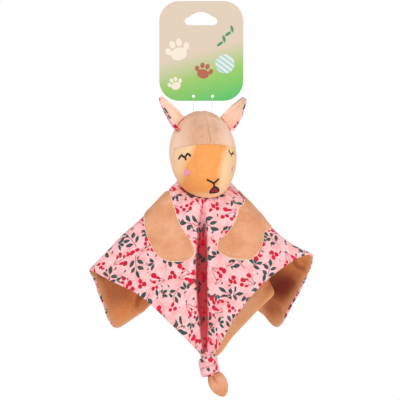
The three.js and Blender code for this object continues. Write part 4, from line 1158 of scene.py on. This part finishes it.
def lay_flat():
    """The draped cloth laid out flat: a grid of places, opened at the back and eased until its
    edges have their true lengths."""
    grid_down, grid_angle = np.meshgrid(LAID_DOWNS, LAID_ANGLES, indexing="ij")
    held = drape(grid_angle, grid_down)
    rows, columns = grid_angle.shape
    lengths = np.linalg.norm(np.diff(held, axis=0), axis=2)
    reach = SLEEVE_RADIUS + np.concatenate([np.zeros((1, columns)), np.cumsum(lengths, 0)])
    ring = rows * 2 // 3
    step = np.linalg.norm(np.diff(held[ring], axis=0), axis=1) / reach[ring, 1:]
    turned = np.concatenate([[0], np.cumsum(step)])
    turned = turned - np.interp(FULL, LAID_ANGLES, turned)
    flat = np.stack([reach * np.sin(turned), -reach * np.cos(turned)], -1)

    def ends(grid, down, across):
        """The two ends of every edge that goes so many rows down and columns across."""
        first, last = max(0, -across), columns - max(0, across)
        return grid[:rows - down, first:last], grid[down:, first + across:last + across]

    edges = [(0, 1), (1, 0), (1, 1), (1, -1)]
    truth = [np.linalg.norm(np.subtract(*ends(held, *edge)), axis=2) for edge in edges]
    for _ in range(EASE_STEPS):
        move = np.zeros_like(flat)
        for edge, true in zip(edges, truth):
            here, there = ends(flat, *edge)
            long = np.linalg.norm(there - here, axis=2)
            pull = (there - here) * ((long - true) / np.maximum(long, 0.01) / 2)[..., None]
            near, far = ends(move, *edge)
            near += pull
            far -= pull
        flat += move / 5
    return flat


BACK_OPENING, EASE_STEPS = math.radians(224), 1500
LAID_ANGLES = BACK_OPENING + np.linspace(0, FULL, 361)
LAID_DOWNS = np.linspace(0, 1, 25)
laid_flat = lay_flat()


def flat_place(angle, down):
    """Where a place of the draped cloth lies on the flat square, in mm."""
    column = np.mod(angle - BACK_OPENING, FULL) / FULL * (len(LAID_ANGLES) - 1)
    low = np.minimum(column.astype(int), len(LAID_ANGLES) - 2)
    row = np.clip(down, 0, 1) * (len(LAID_DOWNS) - 1)
    top = np.minimum(row.astype(int), len(LAID_DOWNS) - 2)
    s, t = (column - low)[..., None], (row - top)[..., None]
    above = laid_flat[top, low] * (1 - s) + laid_flat[top, low + 1] * s
    below = laid_flat[top + 1, low] * (1 - s) + laid_flat[top + 1, low + 1] * s
    return above * (1 - t) + below * t


def wave(flat, wavelength, seed, stretch=(1.0, 1.0)):
    """Soft unevenness of the cloth by its flat places, -1 to 1."""
    spots = np.concatenate([flat * np.array(stretch), np.zeros(flat.shape[:-1] + (1,))], -1)
    return lumps(spots, wavelength, seed)


WRINKLES = ((0.9, 34.0, 2), (0.35, 13.0, 5))
PUCKER_DEPTH, PUCKERS, PUCKER_AT, PUCKER_REACH = 0.8, 22, 0.30, 0.10
GATHER_DEPTH, GATHERS, GATHER_FROM, GATHER_REACH = 1.1, 60, 0.72, 0.30
CRUMPLE_DEPTH, CRUMPLE_SIZE, CRUMPLED_CORNERS = 2.3, 17.0, ((1.45, 0.42), (4.86, 0.40))
CLOTH_STEP, FREE_FROM, BACK_SEAM_REACH = 0.004, 0.30, 0.08


def cloth(angle, down):
    """The middle of the cloth with its small wrinkles, and its outward way."""
    points = drape(angle, down)
    along = drape(angle + CLOTH_STEP, down) - drape(angle - CLOTH_STEP, down)
    lower, higher = np.minimum(down + CLOTH_STEP, 1), np.maximum(down - CLOTH_STEP, 0)
    fall = drape(angle, lower) - drape(angle, higher)
    ways = unit(np.cross(along, fall))
    flat = flat_place(angle, down)
    opened = np.angle(np.exp(1j * (angle - BACK_OPENING)))
    free = np.clip((down - FREE_FROM) * 4, 0, 1) * (1 - np.exp(-((opened / BACK_SEAM_REACH) ** 2)))
    from_front = np.angle(np.exp(1j * angle))
    near_knot = np.clip((down - GATHER_FROM) / 0.28, 0, 1) * np.exp(-((from_front / GATHER_REACH) ** 2))
    wrinkle = sum(depth * wave(flat, size, seed) for depth, size, seed in WRINKLES)
    near_collar = np.exp(-((down - PUCKER_AT) / PUCKER_REACH) ** 2)
    pucker = PUCKER_DEPTH * np.sin(angle * PUCKERS + 1.2) * near_collar
    gather = GATHER_DEPTH * np.sin(angle * GATHERS) * near_knot
    corners = sum(np.exp(-(((angle - at) / reach) ** 2)) for at, reach in CRUMPLED_CORNERS)
    rumpled = wave(flat, CRUMPLE_SIZE, 8, (1.0, 0.45))
    crumple = CRUMPLE_DEPTH * np.clip((down - 0.5) * 2, 0, 1) * corners * rumpled
    lift = wrinkle * free + pucker + gather + crumple
    return points + ways * lift[..., None], ways


angles = np.linspace(0, FULL, CLOTH_COLUMNS, endpoint=False)
downs = np.concatenate([np.linspace(0, HEM_STEPS[0], CLOTH_ROWS - 5), HEM_STEPS[1:]])
grid_down, grid_angle = np.meshgrid(downs, angles, indexing="ij")
cloth_points, cloth_ways = cloth(grid_angle, grid_down)
cloth_flat = flat_place(grid_angle, grid_down).reshape(-1, 2)
roundness = np.sqrt(1 - (1 - np.clip((1 - grid_down) / HEM_ROUND, 0, 1)) ** 2)
inner_gap, outer_gap = np.full_like(roundness, 0.08), LAYER_GAP + LAYER_THICK * roundness


def hang_cloth(obj, node):
    """Bakes a piece's place into its points, and lets it stand for one of the solids between neck and
    blanket, which it hides.
    """
    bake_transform(obj)
    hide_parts(node)


def blanket_layer(name, near, far, finish, node):
    """One layer of the blanket, closed over the neck's middle by a small disc on each side."""
    points, faces = layer(cloth_points, cloth_ways, near, far, wraps=True)
    count = len(points) // 2
    faces = [face for face in faces if any(k % count >= CLOTH_COLUMNS for k in face[:3])]
    every, marks, total = [points], [cloth_flat, cloth_flat], 2 * count
    for side, gap in ((0, near), (1, far)):
        lift = NECK_UP * gap[0].mean()
        rings, disc = [range(side * count, side * count + CLOTH_COLUMNS)], []
        for radius in NECK_DISC:
            every.append(round_neck(angles, radius) + lift)
            marks.append(np.stack([radius * np.sin(angles), -radius * np.cos(angles)], -1))
            rings.append(range(total, total + CLOTH_COLUMNS))
            total += CLOTH_COLUMNS
        every.append((NECK_CENTRE - NECK_UP * CLOTH_LIFT + lift)[None])
        marks.append(np.zeros((1, 2)))
        for j in range(CLOTH_COLUMNS):
            k = (j + 1) % CLOTH_COLUMNS
            disc += [(inner[j], inner[k], outer[k], outer[j]) for outer, inner in zip(rings, rings[1:])]
            disc.append((total, rings[-1][k], rings[-1][j]))
        faces += disc if side else [face[::-1] for face in disc]
        total += 1
    sheet = piece(name, np.concatenate(every) * MM, faces, finish, np.concatenate(marks) * MM)
    hang_cloth(sheet, node)
    return sheet


blanket_layer("blanket_outside", inner_gap, outer_gap, printed, "blanket_print")
lining = blanket_layer("blanket_lining", -outer_gap, -inner_gap, lining_velour, "blanket_velour").data
# painted highlight: how near each point lies to the hem, which the lining's material paints paler
hem_highlight = np.zeros(len(lining.vertices), np.float32)
hem_highlight[:2 * grid_down.size] = np.tile(np.clip((grid_down.ravel() - 1) / HEM_HIGHLIGHT_SHARE + 1, 0, 1), 2)
lining.attributes.new("hem", "FLOAT", "POINT").data.foreach_set("value", hem_highlight)
lining.materials.append(printed.material)
turned_over = np.zeros(CLOTH_COLUMNS)
for first, last in HEM_ROLLS:
    share = np.clip((np.degrees(angles) - first) / (last - first), 0, 1)
    turned_over = np.maximum(turned_over, HEM_ROWS * np.sin(math.pi * share))
for face in lining.polygons:
    if max(face.vertices) < 2 * grid_down.size:
        spots = [k % grid_down.size for k in face.vertices]
        rows_up = CLOTH_ROWS - min(spots) // CLOTH_COLUMNS
        face.material_index = int(rows_up <= turned_over[spots[0] % CLOTH_COLUMNS])

# Paws. Two velour arms sewn flat on the print, each bound at its edge by a cream satin line.
# Their outlines are places of the picture, found again on the cloth, and where they pass over
# the ridge out of sight, places of the cloth itself.
PAW_THICK, PAW_RIM, PAW_SUNK = 1.5, 0.10, 0.25
PAW_LUMP, PAW_LUMP_SIZE, PAW_RING_CROWDING = 0.35, 12.0, 1.6
PAW_RINGS, PAW_SIDES = 26, 150
EDGE_REACH, EDGE_LIFT, EDGE_SPACING, EDGE_THICK, EDGE_SLANT = 0.55, 0.3, 0.42, 0.3, 0.2
PRINT_TOP = LAYER_GAP + LAYER_THICK
paw_velour = velour("paw_velour", linear(236, 174, 136), linear(218, 144, 100), linear(246, 196, 162), 1.1)
cream_thread = thread_finish("cream_thread", linear(250, 226, 198), linear(255, 244, 226))
paw_outlines = {
    "left": [
        (170.3, 195.3), (144.6, 217.5), (144.9, 226.2), (147.2, 235.5), (151, 244.2), (155, 251.5),
        (160.5, 257.5), (168.0, 260.6), (176.5, 261.3), (185, 260.4), (191.5, 257.6), (194.4, 252),
        (192.8, 245), (188.8, 238.2), (183.8, 231), (179.3, 223), (176, 214), (173.4, 204.5),
    ],
    "right": [
        (243.3, 196.9), (266.6, 222.4), (265.6, 231), (263.2, 240), (258.8, 250.5), (252.2, 258.2),
        (244.5, 259.8), (234, 258.4), (224.5, 255.3), (218.0, 249.2), (218.6, 241.8), (223, 237.2),
        (228.6, 232), (233.6, 224.6), (237.4, 215.8), (240.6, 206.5),
    ],
}
paw_over_ridge = {
    "left": [(76, 0.40), (88, 0.45), (91, 0.51), (84, 0.57)],
    "right": [(-80, 0.41), (-90, 0.46), (-91, 0.52), (-79, 0.57)],
}


def seen_at(points):
    """Places of the picture, in its pixels, where points in mm are seen."""
    nearness = 1 + points[..., 1] * MM / CAMERA_AWAY
    across = (points[..., 0] - VIEW_CENTRE.x / MM) / nearness
    height = (points[..., 2] - VIEW_CENTRE.z / MM) / nearness
    return PHOTO_SIDE / MM / 2 + np.stack([across, -height], -1)


def on_cloth(place, side):
    """The cloth's angle and way down where a place of the picture is seen, first roughly, then nearer."""
    turns, falls = side * np.radians(np.linspace(2, 74, 90)), np.linspace(0.34, 0.78, 60)
    for _ in range(2):
        grid_turns, grid_falls = np.meshgrid(turns, falls)
        points, ways_there = cloth(grid_turns, grid_falls)
        miss = np.linalg.norm(seen_at(points + ways_there * PRINT_TOP) - np.array(place), axis=-1)
        away = np.maximum(ways_there[..., 1], 0) * 9
        best = np.unravel_index(np.argmin(miss + away), miss.shape)
        at = np.array([grid_turns[best], grid_falls[best]])
        turns = at[0] + (turns[1] - turns[0]) * np.linspace(-1, 1, 15)
        falls = at[1] + (falls[1] - falls[0]) * np.linspace(-1, 1, 15)
    return at


for name, side in (("left", 1), ("right", -1)):
    seen_edge = [on_cloth(place, side) for place in paw_outlines[name]]
    over_ridge = [(math.radians(degrees), down) for degrees, down in paw_over_ridge[name]]
    outline = smooth_line([seen_edge[0], *over_ridge, *seen_edge[1:]], PAW_SIDES, closed=True)
    middle = outline.mean(0)
    shares = 1 - (1 - np.linspace(0, 1, PAW_RINGS + 1)[1:]) ** PAW_RING_CROWDING
    spots = middle + (outline - middle) * shares[:, None, None]
    places, ways_up = cloth(spots[..., 0], spots[..., 1])
    hub, hub_way = cloth(middle[None, 0], middle[None, 1])
    rim = np.clip((1 - shares) / PAW_RIM, 0, 1)
    plump = PAW_THICK * np.sqrt(1 - (1 - rim) ** 2) + 0.05
    puff = PAW_LUMP * lumps(places, PAW_LUMP_SIZE, 7)
    top = places + ways_up * (PRINT_TOP + (plump[:, None] + puff * rim[:, None]))[..., None]
    base = places + ways_up * (PRINT_TOP - PAW_SUNK)
    hub_top, hub_base = hub + hub_way * (PRINT_TOP + plump[0]), hub + hub_way * (PRINT_TOP - PAW_SUNK)
    points = np.concatenate([top.reshape(-1, 3), hub_top, base.reshape(-1, 3), hub_base])
    count, last = PAW_RINGS * PAW_SIDES + 1, (PAW_RINGS - 1) * PAW_SIDES
    upper = [face[::-1] for face in round_faces(PAW_RINGS, PAW_SIDES)]
    upper += [(count - 1, j, (j + 1) % PAW_SIDES) for j in range(PAW_SIDES)]
    faces = upper + [tuple(count + k for k in reversed(face)) for face in upper]
    for j in range(PAW_SIDES):
        a, b = last + j, last + (j + 1) % PAW_SIDES
        faces.append((a, count + a, count + b, b))
    if side < 0:
        faces = [face[::-1] for face in faces]
    pad = piece(f"paw_{name}_pad", points * MM, faces, paw_velour)
    hang_cloth(pad, f"paw_{name}")
    edge_places, edge_ways = cloth(outline[:, 0], outline[:, 1])
    edging = satin(
        f"paw_{name}_edging", [(edge_places + edge_ways * (PRINT_TOP + EDGE_LIFT), edge_ways, EDGE_REACH)],
        cream_thread, EDGE_SPACING, EDGE_THICK, EDGE_SLANT, closed=True,
    )
    hang_cloth(edging, f"paw_{name}")

# Knot. The blanket's front corner is gathered and tied: a fold of its own cloth winds round
# the gathered middle, and the end of the corner hangs out below as a tail, velour outward.
KNOT_HINGE = np.array([5.5, -31.5, -342.0])
KNOT_LEAN = math.radians(-13)
KNOT_DROP, KNOT_RADIUS, KNOT_HEIGHT, KNOT_CORE = 21.0, 10.0, 17.0, 4.6
KNOT_AXES = np.array(Matrix.Rotation(KNOT_LEAN, 3, "Y"))
BAND_PROFILE, KNOT_COLUMNS, HEART_ROWS = 64, 120, 40
BAND_SQUARENESS, BAND_LUMP, BAND_LUMP_SIZE, BAND_WAVE = (0.55, 0.62), 0.5, 6.0, 1.1
BAND_CREASES, BAND_CREASE_REACH = ((3.6, 3.0, 0.5, 1.3), (-2.6, 2.4, 0.9, 1.0), (0.6, -3.5, 2.2, 0.6)), 1.1
HEART_RIBS, HEART_RIB_DEPTH, HEART_INSET, HEART_END_ROUND = 9, 0.3, 0.35, 0.08


def knot_to_world(points):
    return points @ KNOT_AXES.T + KNOT_HINGE


def print_marks(*measures):
    """Places on the flat print for a grid of points, from two measures in mm."""
    return np.stack(measures, -1).reshape(-1, 2)


profile_turn = np.linspace(0, 2 * math.pi, BAND_PROFILE, endpoint=False)
around = np.linspace(0, 2 * math.pi, KNOT_COLUMNS, endpoint=False)
grid_profile, grid_around = np.meshgrid(profile_turn, around, indexing="ij")
out_share, up_share = (
    np.sign(part) * np.abs(part) ** power
    for part, power in zip((np.cos(grid_profile), np.sin(grid_profile)), BAND_SQUARENESS)
)
mean_radius, wall = (KNOT_RADIUS + KNOT_CORE) / 2, (KNOT_RADIUS - KNOT_CORE) / 2
band_z = -KNOT_DROP / 2 + up_share * (KNOT_HEIGHT / 2 + 0.5) + BAND_WAVE * np.sin(grid_around + 2.2)
crease = np.zeros_like(band_z)
for offset, slope, shift, depth in BAND_CREASES:
    away = band_z + KNOT_DROP / 2 - offset - slope * np.sin(grid_around - shift)
    crease += depth * np.exp(-((away / BAND_CREASE_REACH) ** 2))
outer = np.clip(out_share, 0, 1)
radius = mean_radius + wall * out_share - crease * outer
bulk = 1 + 0.04 * np.sin(2 * grid_around + 0.8)
band = np.stack([-radius * np.sin(grid_around) * bulk, -radius * np.cos(grid_around) * 0.92, band_z], -1)
bulge = BAND_LUMP * outer * lumps(band, BAND_LUMP_SIZE, 3)
band += bulge[..., None] * unit(band * np.array([1, 1, 0]))
marks = print_marks(grid_around * KNOT_RADIUS + 12, grid_profile * 6 + 40)
band_faces = [face[::-1] for face in round_faces(BAND_PROFILE, KNOT_COLUMNS, joined=True)]
knot_band = piece("knot_wrap", knot_to_world(band).reshape(-1, 3) * MM, band_faces, printed, marks * MM)
dress(knot_band, "knot", "knot_band")

heights = np.linspace(4.0, -KNOT_DROP - 0.5, HEART_ROWS)
grid_height, grid_around = np.meshgrid(heights, around, indexing="ij")
from_end = np.minimum(np.linspace(1, 0, HEART_ROWS), np.linspace(0, 1, HEART_ROWS))
end_round = np.sqrt(np.clip(1 - np.clip(1 - from_end / HEART_END_ROUND, 0, 1) ** 2, 0.01, 1))
ribs = HEART_RIB_DEPTH * np.cos(HEART_RIBS * grid_around + 1.3 * np.sin(grid_around))
heart_radius = (KNOT_CORE - HEART_INSET + ribs) * end_round[:, None]
heart_radius *= 1 - 0.2 * np.clip(grid_height / 4, 0, 1)
sideways, forward = -heart_radius * np.sin(grid_around), -heart_radius * np.cos(grid_around)
heart = np.stack([sideways, forward, grid_height], -1)
heart = np.concatenate([heart.reshape(-1, 3), [[0, 0, heights[0]], [0, 0, heights[-1]]]])
heart_faces = ball_faces(HEART_ROWS, KNOT_COLUMNS)
marks = np.concatenate([print_marks(grid_around * KNOT_CORE, grid_height + 90), [[0, 95], [0, 60]]])
knot_heart = piece("knot_gather", knot_to_world(heart) * MM, heart_faces, printed, marks * MM)
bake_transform(knot_heart)
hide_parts("knot_core")

# Tail. The corner's end is folded over itself, so that its velour meets in a slit, and a
# narrow edge of the print shows beside it.
TAIL_LENGTH, TAIL_HALF_WIDTH, TAIL_THICK = 25.0, 9.2, 5.0
TAIL_LEAN, TAIL_SLIT, TAIL_EDGE_SHARE = math.radians(-26), 1.9, 0.52
TAIL_ROWS, TAIL_COLUMNS = 56, 60
TAIL_SLIT_AT, TAIL_SLIT_REACH, TAIL_FOLD_END, TAIL_FOLD_SOFTNESS, TAIL_FLAP = 0.22, 0.11, 0.47, 22, 0.5
TAIL_LUMP, TAIL_LUMP_SIZE = 0.3, 7.0
TAIL_AXES = np.array(Matrix.Rotation(TAIL_LEAN, 3, "Y"))
TAIL_TOP = knot_to_world(np.array([2.6, 0, -KNOT_DROP + 2.0]))


def tail_leaf(half_width, thick, slit, length):
    """A folded leaf of cloth hanging down from its root, closed all round, in its own frame."""
    down = (1 - np.cos(np.linspace(0, math.pi, TAIL_ROWS))) / 2
    turn = np.linspace(0, 2 * math.pi, TAIL_COLUMNS, endpoint=False)
    grid_down, grid_turn = np.meshgrid(down, turn, indexing="ij")
    width = half_width * np.sin(math.pi * (0.16 + 0.84 * grid_down)) ** 0.55
    width *= np.sqrt(np.clip(grid_down / 0.05, 0.0, 1))
    x, y = np.sin(grid_turn), -np.cos(grid_turn)
    body = thick / 2 * (1 - 0.25 * grid_down) * np.minimum(width / half_width * 1.4, 1)
    fold = 1 / (1 + np.exp((grid_down - TAIL_FOLD_END) * TAIL_FOLD_SOFTNESS))
    front = np.clip(-y, 0, 1) ** 0.7
    from_slit = x + TAIL_SLIT_AT
    groove = slit * fold * np.exp(-(((from_slit - 0.16 * grid_down) / TAIL_SLIT_REACH) ** 2)) * front
    flap = TAIL_FLAP * fold * np.where(from_slit < 0, 1, 0) * front
    points = np.stack([x * width, y * np.abs(y) ** -0.3 * body, -grid_down * length], -1)
    points[..., 1] += groove - flap * (1 - np.exp(-((from_slit / 0.2) ** 2)))
    return points


def tail_piece(name, points, shift, finish):
    """One leaf of the tail, hung from the knot after a shift in its own frame."""
    hung = (points + np.array(shift)) @ TAIL_AXES.T + TAIL_TOP
    hung = hung.reshape(-1, 3) * MM
    obj = piece(name, hung, round_faces(TAIL_ROWS, TAIL_COLUMNS), finish, hung[:, [0, 2]] + 0.05)
    weld(obj.data, 0.002)
    dress(obj, "knot", "knot_tail")


leaf = tail_leaf(TAIL_HALF_WIDTH, TAIL_THICK, TAIL_SLIT, TAIL_LENGTH)
leaf += TAIL_LUMP * lumps(leaf, TAIL_LUMP_SIZE, 9)[..., None] * np.array([0, 1.0, 0])
tail_piece("tail_velour_side", leaf, (0, 0, 0), paw_velour)
edge_leaf = tail_leaf(5.0, 2.2, 0.0, TAIL_LENGTH * TAIL_EDGE_SHARE)
tail_piece("tail_print_side", edge_leaf, (-2.4, 1.6, 0), printed)
